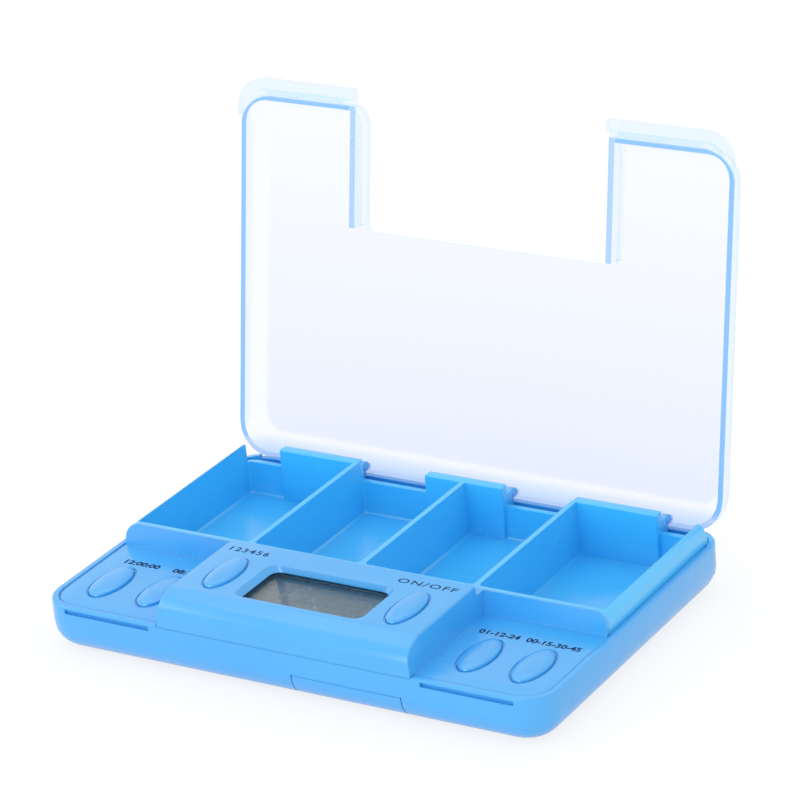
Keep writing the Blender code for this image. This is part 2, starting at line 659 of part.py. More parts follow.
def make_door(shop):
    door = case_shell(shop, "battery_door")
    edge = BAY_DEPTH - DOOR_GAP
    outline = block(BAY_START + DOOR_GAP, BAY_END - DOOR_GAP, -OVERRUN, edge, -OVERRUN, BAY_TOP - DOOR_GAP)
    shop.keep(door, outline, "battery_door_outline")
    for name, left, right in tongue_spans():
        tongue = block(left, right, edge - DOOR_TONGUE_ROOT, edge + DOOR_TONGUE_REACH,
                       BASE_WALL / 2 + SEAT_GAP, BASE_WALL - SEAT_GAP)
        shop.join(door, tongue, "tongue_" + name)
    for index in range(DOOR_GRIPS):
        front = DOOR_GRIP_START + index * DOOR_GRIP_PITCH
        groove = block(BAY_MIDDLE - DOOR_GRIP_HALF_WIDTH, BAY_MIDDLE + DOOR_GRIP_HALF_WIDTH,
                       front, front + DOOR_GRIP_PITCH / 2, -OVERRUN, DOOR_GRIP_DEPTH)
        shop.cut(door, groove, f"door_grip_{index + 1}")
    return door


def tray_block():
    """The tray's outside above the deck: sides rounded over, front leaning back a little."""
    edge = HALF_WIDTH - CASE_INSET - TRAY_SIDE_STEP
    made = block(-edge, edge, TRAY_FRONT, TRAY_SIDE_END, DECK_BOTTOM + ROOT_OVERLAP, TRAY_HEIGHT)
    for vertex in made.verts:
        if vertex.co.y < 0 and vertex.co.z > DECK_TOP:
            vertex.co.y += TRAY_FRONT_LEAN
    round_edges(made, lambda edge: runs_along(edge, 1) and lies_at(edge, 2, TRAY_HEIGHT),
                TRAY_SIDE_ROUND, ROUND_SEGMENTS)
    back = from_front(TRAY_SIDE_END)
    round_edges(made, lambda edge: lies_at(edge, 1, back) and span_of(edge, 2)[1] > DECK_TOP
                and not runs_along(edge, 2), TRAY_END_ROUND)
    return made


def compartment_walls():
    """Left and right face of each of the four compartments, at the top."""
    side = HALF_WIDTH - TRAY_SIDE_INSET
    half = DIVIDER_THICKNESS / 2
    return [(-side, -DIVIDER_PITCH - half), (-DIVIDER_PITCH + half, -half),
            (half, DIVIDER_PITCH - half), (DIVIDER_PITCH + half, side)]


def compartment(left, right):
    """The hollow of one compartment, narrower towards its rounded floor."""
    front = TRAY_FRONT + TRAY_FRONT_LEAN + TRAY_WALL
    back = TRAY_BACK - TRAY_BACK_WALL
    hollow = block(left, right, front, back, TRAY_FLOOR, TRAY_HEIGHT + OVERRUN)
    middle_x, middle_y = (left + right) / 2, from_front((front + back) / 2)
    for vertex in hollow.verts:
        if vertex.co.z < DECK_TOP:
            vertex.co.x += CELL_DRAFT if vertex.co.x < middle_x else -CELL_DRAFT
            vertex.co.y += CELL_DRAFT if vertex.co.y < middle_y else -CELL_DRAFT
    round_edges(hollow, lambda edge: span_of(edge, 2)[1] > TRAY_HEIGHT > span_of(edge, 2)[0],
                CELL_CORNER_ROUND)
    round_level(hollow, TRAY_FLOOR, CELL_FLOOR_ROUND)
    return hollow


def tab_spans():
    """Name, left and right end of each tab."""
    return [("left", -TAB_OUTER_END, -TAB_INNER_END), ("middle", -TAB_MIDDLE_HALF, TAB_MIDDLE_HALF),
            ("right", TAB_INNER_END, TAB_OUTER_END)]


def lug_spans():
    """Name, left and right end of each hinge lug of the lid."""
    outer_end = TAB_OUTER_END - EAR_THICKNESS - RUNNING_GAP
    middle_end = TAB_MIDDLE_HALF - EAR_THICKNESS - RUNNING_GAP
    return [("left", -outer_end, -HINGE_OUTER_LUG_START), ("middle", -middle_end, middle_end),
            ("right", HINGE_OUTER_LUG_START, outer_end)]


def ear_spans():
    """Name, left and right face of each ear, one on either side of each lug."""
    for name, left, right in lug_spans():
        yield name + "_a", left - RUNNING_GAP - EAR_THICKNESS, left - RUNNING_GAP
        yield name + "_b", right + RUNNING_GAP, right + RUNNING_GAP + EAR_THICKNESS


def add_tabs(shop, case):
    for name, left, right in tab_spans():
        tab = block(left, right, TAB_FRONT, TAB_BACK, TRAY_FLOOR - ROOT_OVERLAP, TRAY_HEIGHT + TAB_PROUD)
        round_edges(tab, lambda edge: span_of(edge, 2)[1] > DECK_TOP, TAB_ROUND)
        shop.join(case, tab, "tab_" + name)
    for name, left, right in ear_spans():
        arm = block(left, right, TAB_BACK - ROOT_OVERLAP, BODY_DEPTH - CASE_INSET,
                    REAR_LEDGE_TOP - ROOT_OVERLAP, HINGE_Z + EAR_RADIUS)
        shop.join(case, arm, "ear_arm_" + name)
        shop.join(case, cross_cylinder(EAR_RADIUS, left, right, HINGE_Y, HINGE_Z), "ear_eye_" + name)
        radius = HINGE_PIN_RADIUS + HINGE_PIN_CLEARANCE
        bore = cross_cylinder(radius, left - SEAT_GAP, right + SEAT_GAP, HINGE_Y, HINGE_Z)
        shop.cut(case, bore, "ear_bore_" + name)


def console_front():
    """The console's front outline, from the foot up to the top and back along it."""
    return [(0.0, CONSOLE_FOOT), (0.0, CONSOLE_TOP - CONSOLE_FACE_DROP),
            (CONSOLE_CHIN_BACK, CONSOLE_TOP - CONSOLE_CHIN_DROP),
            (CONSOLE_BROW_BACK, CONSOLE_TOP - CONSOLE_BROW_DROP),
            (CONSOLE_TOP_FRONT, CONSOLE_TOP), (CONSOLE_BACK, CONSOLE_TOP)]


def drawn_in(outline, depth):
    """The corners of an outline, moved towards its right-hand side by an even depth."""
    moved = []
    for before, corner, after in zip(outline, outline[1:], outline[2:]):
        first = (Vector(corner) - Vector(before)).normalized()
        second = (Vector(after) - Vector(corner)).normalized()
        normal = Vector((first.y, -first.x)) + Vector((second.y, -second.x))
        reach = 2 * depth / normal.length_squared
        moved.append((corner[0] + normal.x * reach, corner[1] + normal.y * reach))
    return moved


def lean_in(mesh):
    """Gives the console's sides their draft."""
    span = CONSOLE_TOP - RIM_HEIGHT
    for vertex in mesh.verts:
        share = max(vertex.co.z - RIM_HEIGHT, 0.0) / span
        vertex.co.x -= math.copysign(CONSOLE_DRAFT * share, vertex.co.x)
    return mesh


def console_block():
    """The console's outside, with a step at the back that joins the tray's front wall."""
    root = TRAY_FRONT + TRAY_FRONT_LEAN + ROOT_OVERLAP
    outline = console_front() + [(CONSOLE_BACK, TRAY_HEIGHT), (root, TRAY_HEIGHT), (root, CONSOLE_FOOT)]
    made = prism(outline, -CONSOLE_HALF, CONSOLE_HALF)
    step, back = from_front(CONSOLE_BACK) - SAME_PLACE, from_front(root) - CONSOLE_ROUND
    low = CONSOLE_FOOT + CONSOLE_ROUND
    round_edges(made, lambda edge: span_of(edge, 2)[1] > low and span_of(edge, 1)[0] < step
                and span_of(edge, 1)[1] < back, CONSOLE_ROUND)
    return lean_in(made)


def console_hollow():
    """The room for the display and its board under the console."""
    wall = CONSOLE_WALL
    low = DECK_BOTTOM - OVERRUN
    outline = [(wall, low)] + drawn_in(console_front(), wall)
    outline += [(CONSOLE_BACK - wall, CONSOLE_ROOF), (CONSOLE_BACK - wall, low)]
    return lean_in(prism(outline, wall - CONSOLE_HALF, CONSOLE_HALF - wall))


def window_cutter():
    """The display opening, which narrows downwards."""
    low, high = CONSOLE_ROOF - CONSOLE_WALL / 2, CONSOLE_TOP + CONSOLE_WALL / 2
    cutter = block(-WINDOW_HALF, WINDOW_HALF, WINDOW_FRONT, WINDOW_BACK, low, high)
    middle = from_front((WINDOW_FRONT + WINDOW_BACK) / 2)
    for vertex in cutter.verts:
        share = (CONSOLE_TOP - vertex.co.z) / CONSOLE_WALL
        vertex.co.x -= math.copysign(WINDOW_SIDE_RUN * share, vertex.co.x)
        vertex.co.y += WINDOW_END_RUN * share if vertex.co.y < middle else -WINDOW_END_RUN * share
    return round_edges(cutter, lambda edge: span_of(edge, 2)[1] - span_of(edge, 2)[0] > CONSOLE_WALL,
                       WINDOW_CORNER)


def button_places():
    """Name, centre, hole half sizes, top face, underside and board face of each push button."""
    deck = (DECK_HOLE_HALF_WIDTH, DECK_HOLE_HALF_LENGTH, DECK_TOP, DECK_BOTTOM, BOARD_TOP)
    roof = (CONSOLE_HOLE_HALF_WIDTH, CONSOLE_HOLE_HALF_LENGTH, CONSOLE_TOP, CONSOLE_ROOF,
            DISPLAY_BOARD_TOP)
    deck_y, roof_y = from_front(DECK_BUTTON_BACK), from_front(CONSOLE_BUTTON_BACK)
    return [("time", (-DECK_BUTTON_OUTER, deck_y), *deck),
            ("alarm", (-DECK_BUTTON_INNER, deck_y), *deck),
            ("memo", (-CONSOLE_BUTTON_SIDE, roof_y), *roof),
            ("on_off", (CONSOLE_BUTTON_SIDE, roof_y), *roof),
            ("hour", (DECK_BUTTON_INNER, deck_y), *deck),
            ("minute", (DECK_BUTTON_OUTER, deck_y), *deck)]


def add_post(shop, case, name, centre, bottom, top, pilot_top):
    """A round post under the upper case, with a pilot hole for a screw."""
    shop.join(case, cylinder(POST_RADIUS, bottom, top + ROOT_OVERLAP, centre), "post_" + name)
    pilot = cylinder(SCREW_RADIUS + PILOT_CLEARANCE, bottom - SEAT_GAP, pilot_top, centre)
    shop.cut(case, pilot, "pilot_" + name)


def add_rear_ledge(shop, case, tray_side):
    """The low ledge under the hinges, and the cheeks that join it to the tray's sides."""
    edge = HALF_WIDTH - CASE_INSET
    ledge = block(-edge, edge, REAR_LEDGE_START, BODY_DEPTH - CASE_INSET,
                  REAR_LEDGE_TOP - DECK_THICKNESS, REAR_LEDGE_TOP)
    back = HALF_DEPTH - CASE_INSET
    round_edges(ledge, lambda edge: runs_along(edge, 2) and lies_at(edge, 1, back),
                PLAN_RADIUS - CASE_INSET, ROUND_SEGMENTS)
    shop.join(case, ledge, "rear_ledge")
    for name, left, right in (("left", -edge, -tray_side), ("right", tray_side, edge)):
        cheek = block(left, right, REAR_LEDGE_START, TRAY_SIDE_END - TRAY_END_ROUND,
                      REAR_LEDGE_TOP - ROOT_OVERLAP, DECK_BOTTOM + ROOT_OVERLAP)
        shop.join(case, cheek, "rear_cheek_" + name)


def make_upper_case(shop):
    plate = round_level(case_block(CASE_INSET, DECK_BOTTOM, DECK_TOP, 0.0), DECK_TOP, RIM_ROUND)
    case = shop.part(plate, "upper_case", shop.blue)
    trough = block(-HALF_WIDTH, HALF_WIDTH, TRAY_SIDE_END - TRAY_END_ROUND, BODY_DEPTH,
                   DECK_BOTTOM - OVERRUN, DECK_TOP + OVERRUN)
    shop.cut(case, trough, "rear_clearance")
    shop.join(case, tray_block(), "tray_outside")
    side = HALF_WIDTH - TRAY_SIDE_INSET + TRAY_WALL
    tub_bottom = TRAY_FLOOR - TRAY_FLOOR_THICKNESS
    tub = block(-side, side, TRAY_FRONT + ROOT_OVERLAP, TRAY_BACK, tub_bottom, TRAY_BACK_TOP)
    round_upright(tub, TRAY_CORNER_ROUND)
    round_level(tub, tub_bottom, TRAY_CORNER_ROUND)
    round_level(tub, TRAY_BACK_TOP, TRAY_BACK_ROUND)
    shop.join(case, tub, "tray_tub")
    add_rear_ledge(shop, case, side - ROOT_OVERLAP)
    for index, (left, right) in enumerate(compartment_walls()):
        shop.cut(case, compartment(left, right), f"compartment_{index + 1}")
    add_tabs(shop, case)
    shop.join(case, console_block(), "console_outside")
    shop.cut(case, console_hollow(), "console_inside")
    shop.cut(case, window_cutter(), "display_opening")
    for name, centre, half_width, half_length, top, under, _ in button_places():
        low = oval_ring(half_width, half_length, under - OVERRUN, centre)
        high = oval_ring(half_width, half_length, top + OVERRUN, centre)
        shop.cut(case, loft([low, high]), name + "_button_hole")
    for name, centre in case_screw_places():
        add_post(shop, case, name, centre, BOSS_TOP + RUNNING_GAP, DECK_BOTTOM,
                 SCREW_SINK + SCREW_LENGTH + RUNNING_GAP)
    for name, centre in board_screw_places():
        add_post(shop, case, "board_" + name, centre, BOARD_TOP + SEAT_GAP, DECK_BOTTOM,
                 BOARD_BOTTOM + SMALL_SCREW_LENGTH + RUNNING_GAP)
    for name, centre in display_screw_places():
        add_post(shop, case, "display_" + name, centre, DISPLAY_BOARD_TOP + SEAT_GAP, CONSOLE_ROOF,
                 DISPLAY_BOARD_BOTTOM + SMALL_SCREW_LENGTH + RUNNING_GAP)
    return case


def make_buttons(shop):
    for name, centre, half_width, half_length, top, under, board in button_places():
        stem_bottom = board + SEAT_GAP + DOME_HEIGHT + BUTTON_TRAVEL + SEAT_GAP
        flange_top = under - SEAT_GAP
        flange_bottom = flange_top - BUTTON_FLANGE_HEIGHT
        cap_width, cap_length = half_width - BUTTON_GAP, half_length - BUTTON_GAP
        crown = top + BUTTON_PROUD - BUTTON_CROWN
        levels = [(BUTTON_STEM_RADIUS, BUTTON_STEM_RADIUS, stem_bottom),
                  (BUTTON_STEM_RADIUS, BUTTON_STEM_RADIUS, flange_bottom),
                  (cap_width + BUTTON_FLANGE, cap_length + BUTTON_FLANGE, flange_bottom),
                  (cap_width + BUTTON_FLANGE, cap_length + BUTTON_FLANGE, flange_top),
                  (cap_width, cap_length, flange_top)]
        for step in range(CROWN_STEPS + 1):
            angle = CROWN_ANGLE * step / CROWN_STEPS
            draw_in = cap_width * (1 - math.cos(angle))
            height = crown + BUTTON_CROWN * math.sin(angle) / math.sin(CROWN_ANGLE)
            levels.append((cap_width - draw_in, cap_length - draw_in, height))
        rings = [oval_ring(width, length, height, centre) for width, length, height in levels]
        shop.part(loft(rings), name + "_button", shop.key_blue, (*centre, top))
        base = board + SEAT_GAP
        levels = [(DOME_RADIUS, base), (DOME_RADIUS, base + DOME_RIM), (DOME_RADIUS / 2, base + DOME_HEIGHT)]
        dome = [oval_ring(radius, radius, height, centre, PIN_SEGMENTS) for radius, height in levels]
        shop.part(loft(dome), name + "_key_dome", shop.steel, (*centre, base))


def rounded_plate(left, right, front, back, bottom, top, radius):
    return round_upright(block(left, right, front, back, bottom, top), radius)


def make_display(shop):
    half = WINDOW_DEEP_HALF + LENS_BORDER
    lens_front, lens_back = LCD_FRONT - LCD_INSET, LCD_BACK + LCD_INSET
    shop.part(rounded_plate(-half, half, lens_front, lens_back, LENS_BOTTOM, LENS_TOP, WINDOW_CORNER),
              "display_window", shop.lens)
    glass = block(-LCD_HALF, LCD_HALF, LCD_FRONT, LCD_BACK, LCD_BOTTOM, LCD_TOP)
    shop.part(glass, "display_glass", shop.lcd)
    gap, wall = SEAT_GAP, HOLDER_WALL
    bottom, top = DISPLAY_BOARD_TOP + SEAT_GAP, LENS_BOTTOM - SEAT_GAP
    frame = rounded_plate(-LCD_HALF - gap - wall, LCD_HALF + gap + wall, LCD_FRONT - gap - wall,
                          LCD_BACK + gap + wall, bottom, top, wall)
    holder = shop.part(frame, "display_holder", shop.white)
    inside = block(-LCD_HALF - gap, LCD_HALF + gap, LCD_FRONT - gap, LCD_BACK + gap,
                   bottom - OVERRUN, top + OVERRUN)
    shop.cut(holder, inside, "display_holder_inside")
    for name, front in (("front", LCD_FRONT), ("back", LCD_BACK - STRIP_WIDTH)):
        strip = block(-STRIP_HALF, STRIP_HALF, front, front + STRIP_WIDTH, bottom, LCD_BOTTOM - gap)
        shop.part(strip, "contact_strip_" + name, shop.rubber)
    inset = CONSOLE_WALL + DISPLAY_BOARD_GAP
    plate = rounded_plate(inset - CONSOLE_HALF, CONSOLE_HALF - inset, inset, DISPLAY_BOARD_BACK,
                          DISPLAY_BOARD_BOTTOM, DISPLAY_BOARD_TOP, BOARD_CORNER / 2)
    board = shop.part(plate, "display_board", shop.board)
    for name, centre in display_screw_places():
        hole = cylinder(SCREW_RADIUS + BORE_CLEARANCE, DISPLAY_BOARD_BOTTOM - OVERRUN,
                        DISPLAY_BOARD_TOP + OVERRUN, centre)
        shop.cut(board, hole, "display_board_hole_" + name)


def make_main_board(shop):
    plate = rounded_plate(-BOARD_HALF, BOARD_HALF, BOARD_FRONT, BOARD_BACK, BOARD_BOTTOM, BOARD_TOP,
                          BOARD_CORNER)
    board = shop.part(plate, "main_board", shop.board)
    clear = SEAM_GAP + BAY_RIB + RUNNING_GAP
    low, high = BOARD_BOTTOM - OVERRUN, BOARD_TOP + OVERRUN
    cutout = block(BAY_START - clear, BAY_END + clear, BOARD_FRONT - OVERRUN, BAY_DEPTH + clear, low, high)
    shop.cut(board, cutout, "cell_bay_cutout")
    for name, centre in case_screw_places():
        hole = cylinder(POST_RADIUS + RUNNING_GAP, low, high, centre)
        shop.cut(board, hole, "post_hole_" + name)
    for name, centre in board_screw_places():
        hole = cylinder(SCREW_RADIUS + BORE_CLEARANCE, low, high, centre)
        shop.cut(board, hole, "board_screw_hole_" + name)
    base = BOARD_TOP + SEAT_GAP
    centre = (CHIP_X, from_front(CHIP_BACK))
    blob = []
    for step in range(CROWN_STEPS + 1):
        angle = CHIP_ANGLE * step / CROWN_STEPS
        radius = CHIP_RADIUS * math.cos(angle)
        blob.append(oval_ring(radius, radius, base + CHIP_HEIGHT * math.sin(angle), centre, PIN_SEGMENTS))
    shop.part(loft(blob), "controller_chip", shop.dark)
    crystal = bmesh.new()
    middle = Matrix.Translation((CRYSTAL_X, from_front(CRYSTAL_BACK), base + CRYSTAL_RADIUS))
    bmesh.ops.create_cone(crystal, cap_ends=True, segments=PIN_SEGMENTS, radius1=CRYSTAL_RADIUS,
                          radius2=CRYSTAL_RADIUS, depth=CRYSTAL_LENGTH,
                          matrix=middle @ Matrix.Rotation(math.pi / 2, 4, 'X'))
    shop.part(crystal, "clock_crystal", shop.steel)
    link = block(LINK_X - LINK_HALF_WIDTH, LINK_X + LINK_HALF_WIDTH, LINK_BACK - LINK_HALF_DEPTH,
                 LINK_BACK + LINK_HALF_DEPTH, base, DISPLAY_BOARD_BOTTOM - SEAT_GAP)
    shop.part(link, "board_link", shop.dark)


def make_sounder(shop):
    centre = (BUZZER_X, from_front(BUZZER_BACK))
    bottom = BASE_WALL + SEAT_GAP
    top = bottom + BUZZER_THICKNESS
    shop.part(cylinder(BUZZER_RADIUS, bottom, top, centre, TURN_SEGMENTS), "sounder_disc", shop.brass)
    face = top + SEAT_GAP
    ceramic = cylinder(CERAMIC_RADIUS, face, face + CERAMIC_THICKNESS, centre, TURN_SEGMENTS)
    shop.part(ceramic, "sounder_ceramic", shop.ceramic)


def make_cells(shop):
    for index, sign in ((1, -1), (2, 1)):
        x = BAY_MIDDLE + sign * CELL_OFFSET
        centre = (x, from_front(CELL_BACK))
        cell = cylinder(CELL_RADIUS, CELL_BOTTOM, CELL_TOP, centre, TURN_SEGMENTS)
        round_edges(cell, lambda edge: not runs_along(edge, 2), CELL_EDGE_ROUND)
        shop.part(cell, f"button_cell_{index}", shop.steel)
        low, high = BOARD_TOP + SEAT_GAP, CELL_TOP + SEAT_GAP
        step = BAY_DEPTH + SEAM_GAP + BAY_RIB + RUNNING_GAP
        start, rise, end = CELL_BACK - CELL_RADIUS / 2, step - CONTACT_RISE_LENGTH, step + CONTACT_FOOT
        under = [(start, high), (rise, high), (step, low), (end, low)]
        over = [(distance, height + CONTACT_THICKNESS) for distance, height in reversed(under)]
        contact = prism(under + over, x - CONTACT_WIDTH / 2, x + CONTACT_WIDTH / 2)
        shop.part(contact, f"cell_contact_{index}", shop.brass)
    half = CONTACT_WIDTH / 2
    reach = CELL_OFFSET + half
    bridge = rounded_plate(BAY_MIDDLE - reach, BAY_MIDDLE + reach, CELL_BACK - half, CELL_BACK + half,
                           BRIDGE_BOTTOM, BRIDGE_BOTTOM + CONTACT_THICKNESS, half / 2)
    shop.part(bridge, "cell_bridge", shop.brass)


def make_screw(shop, name, centre, shoulder, length):
    """A self-tapping screw driven upwards, its shoulder at the height given."""
    head = SCREW_HEAD_RADIUS
    levels = [(SCREW_DRIVE_RADIUS, shoulder - SCREW_HEAD_HEIGHT + SCREW_DRIVE_DEPTH),
              (SCREW_DRIVE_RADIUS, shoulder - SCREW_HEAD_HEIGHT), (head, shoulder - SCREW_HEAD_HEIGHT),
              (head, shoulder), (SCREW_RADIUS, shoulder), (SCREW_RADIUS, shoulder + length - SCREW_RADIUS),
              (SCREW_RADIUS / 4, shoulder + length)]
    rings = [oval_ring(radius, radius, height, centre, PIN_SEGMENTS) for radius, height in levels]
    shop.part(loft(rings), name, shop.steel)


def make_screws(shop):
    for name, centre in case_screw_places():
        make_screw(shop, "case_screw_" + name, centre, SCREW_SINK - SEAT_GAP, SCREW_LENGTH)
    for name, centre in board_screw_places():
        make_screw(shop, "board_screw_" + name, centre, BOARD_BOTTOM - SEAT_GAP, SMALL_SCREW_LENGTH)
    shoulder = DISPLAY_BOARD_BOTTOM - SEAT_GAP
    for name, centre in display_screw_places():
        make_screw(shop, "display_screw_" + name, centre, shoulder, SMALL_SCREW_LENGTH)


def round_inset(radius, above):
    """How far a quarter round has drawn in at a height above its start."""
    if above <= 0:
        return 0.0
    share = min(above / radius, 1.0)
    return radius * (1 - math.sqrt(1 - share * share))


def lid_outline(wall, drop, height):
    """The closed lid's outline at one height; wall and drop are zero for its outside."""
    below = LID_TOP - drop - height
    front_inset, side_inset, back_inset = (
        round_inset(radius - wall, radius - wall - below)
        for radius in (LID_FRONT_ROUND, LID_SIDE_ROUND, LID_BACK_ROUND))
    side = HALF_WIDTH - wall - side_inset
    front = from_front(wall + front_inset)
    back = HALF_DEPTH - wall - back_inset
    share = 1 - side_inset / (LID_SIDE_ROUND - wall)
    corners = []
    for sign_x, edge, radius, start in ((1, back, LID_BACK_CORNER, 0), (-1, back, LID_BACK_CORNER, 1),
                                        (-1, front, LID_FRONT_CORNER, 2), (1, front, LID_FRONT_CORNER, 3)):
        bend = LID_PANEL_CORNER + (radius - wall - LID_PANEL_CORNER) * share
        middle_x = sign_x * (side - bend)
        middle_y = edge - bend if edge > 0 else edge + bend
        for step in range(ROUND_SEGMENTS + 1):
            angle = (start + step / ROUND_SEGMENTS) * math.pi / 2
            corners.append((middle_x + bend * math.cos(angle), middle_y + bend * math.sin(angle), height))
    return corners


def lid_skin(wall, drop, bottom):
    """The lid's outside, or its hollow where a wall and a drop are given."""
    top, bend = LID_TOP - drop, LID_FRONT_ROUND - wall
    rings = [lid_outline(wall, drop, bottom)]
    for step in range(1, LID_STEPS + 1):
        height = top - bend * (1 - math.sin(math.pi / 2 * step / LID_STEPS))
        rings.append(lid_outline(wall, drop, height))
    return loft(rings)


def lip_outline(inset, end, bottom, top):
    """The lip's outline: that of the lid's front, moved forward."""
    edge = HALF_WIDTH - LIP_SIDE_INSET - inset
    made = block(-edge, edge, LIP_FRONT + inset, end, bottom, top)
    front = from_front(LIP_FRONT + inset)
    return round_edges(made, lambda edge: runs_along(edge, 2) and lies_at(edge, 1, front),
                       LID_FRONT_CORNER - inset, ROUND_SEGMENTS)


def with_tools(item):
    """The object and all the guides its Boolean steps use."""
    found = [item]
    for step in item.modifiers:
        found += with_tools(step.object)
    return found


def open_lid(lid):
    hinge = Matrix.Translation((0.0, HINGE_Y, HINGE_Z))
    turn = hinge @ Matrix.Rotation(-math.radians(LID_OPEN_DEGREES), 4, 'X') @ hinge.inverted()
    for item in with_tools(lid):
        shift = Matrix.Translation(item.location)
        item.data.transform(shift.inverted() @ turn @ shift)


def make_lip(shop):
    """The lip over the case's front edge, with room for the case behind and under it."""
    shell = lip_outline(0.0, LIP_END, LIP_BOTTOM, LIP_TOP)
    lip = shop.cutter(round_level(shell, LIP_TOP, LIP_ROUND), "lip_outside")
    inside = lip_outline(LIP_THICKNESS, LIP_END + OVERRUN, LIP_BOTTOM - OVERRUN, LID_BOTTOM + SEAT_GAP)
    shop.cut(lip, inside, "lip_inside")
    room = case_block(-LIP_CASE_GAP, LIP_BOTTOM - OVERRUN / 2, LID_BOTTOM + SEAT_GAP / 2, 0.0)
    shop.cut(lip, room, "lip_case_room")
    return lip


def add_catch_beads(shop, lid):
    """The two beads inside the lip that snap into the latch slots."""
    bottom = LIP_BOTTOM + CATCH_ABOVE_LIP
    back = LIP_FRONT + LIP_THICKNESS
    inner = from_front(back + CATCH_PROUD)
    for name, left in (("left", -CATCH_START - CATCH_LENGTH), ("right", CATCH_START)):
        bead = block(left, left + CATCH_LENGTH, back - ROOT_OVERLAP, back + CATCH_PROUD,
                     bottom, bottom + CATCH_HEIGHT)
        round_edges(bead, lambda edge: lies_at(edge, 1, inner) and runs_along(edge, 0), CATCH_HEIGHT / 3)
        shop.join(lid, bead, "catch_bead_" + name)


def make_lid_hollow(shop):
    """The lid's inside, which leaves a wall standing on either side of the notch."""
    hollow = shop.cutter(lid_skin(LID_WALL, LID_PANEL, LID_BOTTOM - OVERRUN), "lid_inside")
    near, far = LID_NOTCH_HALF - ROOT_OVERLAP, LID_NOTCH_HALF + LID_NOTCH_WALL
    for name, left, right in (("left", -far, -near), ("right", near, far)):
        wall = block(left, right, -OVERRUN, LID_NOTCH_WALL_END, LID_BOTTOM - OVERRUN * 2,
                     LID_TOP + OVERRUN)
        shop.cut(hollow, wall, "notch_wall_" + name)
    return hollow


def make_lid(shop):
    lid = shop.part(lid_skin(0.0, 0.0, LID_BOTTOM), "lid", shop.clear, (0.0, HINGE_Y, HINGE_Z))
    combine(lid, make_lip(shop), 'UNION')
    add_catch_beads(shop, lid)
    combine(lid, make_lid_hollow(shop), 'DIFFERENCE')
    notch = block(-LID_NOTCH_HALF, LID_NOTCH_HALF, -OVERRUN * 3, LID_NOTCH_DEPTH,
                  LIP_BOTTOM - OVERRUN, LID_TOP + OVERRUN)
    back = from_front(LID_NOTCH_DEPTH)
    round_edges(notch, lambda edge: runs_along(edge, 2) and lies_at(edge, 1, back), LID_NOTCH_CORNER)
    shop.cut(lid, notch, "lid_notch")
    for name, left, right in lug_spans():
        lug = cross_cylinder(HINGE_LUG_RADIUS, left - SEAT_GAP, right + SEAT_GAP, HINGE_Y, HINGE_Z)
        shop.join(lid, lug, "lug_" + name)
    for name, left, right in ear_spans():
        slot = box((left - RUNNING_GAP, HINGE_Y - HINGE_SLOT_FRONT, LID_BOTTOM - OVERRUN),
                   (right + RUNNING_GAP, HALF_DEPTH + OVERRUN, HINGE_Z + EAR_RADIUS + RUNNING_GAP))
        shop.cut(lid, slot, "ear_slot_" + name)
    reach = RUNNING_GAP + EAR_THICKNESS
    for name, left, right in lug_spans():
        for end, near, far in (("a", left - reach, left + ROOT_OVERLAP),
                               ("b", right - ROOT_OVERLAP, right + reach)):
            pin = cross_cylinder(HINGE_PIN_RADIUS, near, far, HINGE_Y, HINGE_Z)
            shop.join(lid, pin, f"pin_{name}_{end}")
    open_lid(lid)
    return lid


def main():
    clear_scene()
    shop = Workshop()
    make_base(shop)
    make_upper_case(shop)
    make_lid(shop)
    make_door(shop)
    make_buttons(shop)
    make_display(shop)
    make_main_board(shop)
    make_sounder(shop)
    make_cells(shop)
    make_screws(shop)


main()
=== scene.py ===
"""The looks of the pill box with timer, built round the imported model."""

import json
import math

import bmesh
import bpy
from mathutils import Matrix, Vector


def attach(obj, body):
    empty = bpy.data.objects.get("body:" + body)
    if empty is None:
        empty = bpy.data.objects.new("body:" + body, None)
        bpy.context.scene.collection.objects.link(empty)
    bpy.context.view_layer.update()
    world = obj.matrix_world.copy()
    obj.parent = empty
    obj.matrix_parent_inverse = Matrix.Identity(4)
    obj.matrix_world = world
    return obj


# The origin is under the middle of the box, whose front lies half its depth before it
MM = 0.001
HALF_DEPTH = 38.25 * MM
OUTER_FACE = 56.0 * MM

# Heights of the faces that carry lettering
DECK_TOP = 10.0 * MM
CONSOLE_TOP = 16.5 * MM
LCD_TOP = 14.05 * MM

# Widths over which one look turns into the next
SHARP_BLEND = 0.1 * MM
QUICK_BLEND = 0.2 * MM
SLOW_BLEND = 0.5 * MM

# Ranges of values: rising, falling, and the middle of a noise, narrow and wide
UNIT = (0.0, 1.0)
FALLING = (1.0, 0.0)
NOISE_SPAN = (0.35, 0.65)
WIDE_SPAN = (0.3, 0.7)

# Moulded plastic: how far its edges are rounded, and the depth of its grain
SOFT_EDGE = 0.18 * MM
GRAIN_DEPTH = 0.006 * MM
BEVEL_SAMPLES = 4

# Refractive index of the shiny case, of clear, of ordinary plastic and of matt ink; sheen of the case
GLOSSY = 1.85
CLEAR = 1.49
ORDINARY = 1.5
MATT = 1.2
HAZE = 0.07

# How far the roughness of plastic and of metal drifts to either side, and the dull share of a metal's colour
PLASTIC_DRIFT = (-0.04, 0.06)
METAL_DRIFT = (-0.06, 0.08)
METAL_DULL = 0.8

# The case's colours, linear, and the paler ones of its thin-walled tray, which are painted light: the tray
# is painted paler as if lit through its thin walls
BLUE = (0.026, 0.352, 0.8)
BLUE_SHADE = (0.031, 0.367, 0.815)
BLUE_TRAY_PAINTED_LIGHT = (0.034, 0.47, 0.9)
BLUE_TRAY_PAINTED_LIGHT_DRIFT = (0.04, 0.485, 0.91)

# The tray behind the console: its front, rear and sides, and where its walls start to round over
TRAY_FRONT = 30.0 * MM - HALF_DEPTH
TRAY_REAR = 74.6 * MM - HALF_DEPTH
TRAY_HALF_WIDTH = 54.6 * MM
TRAY_TOPS = 12.5 * MM

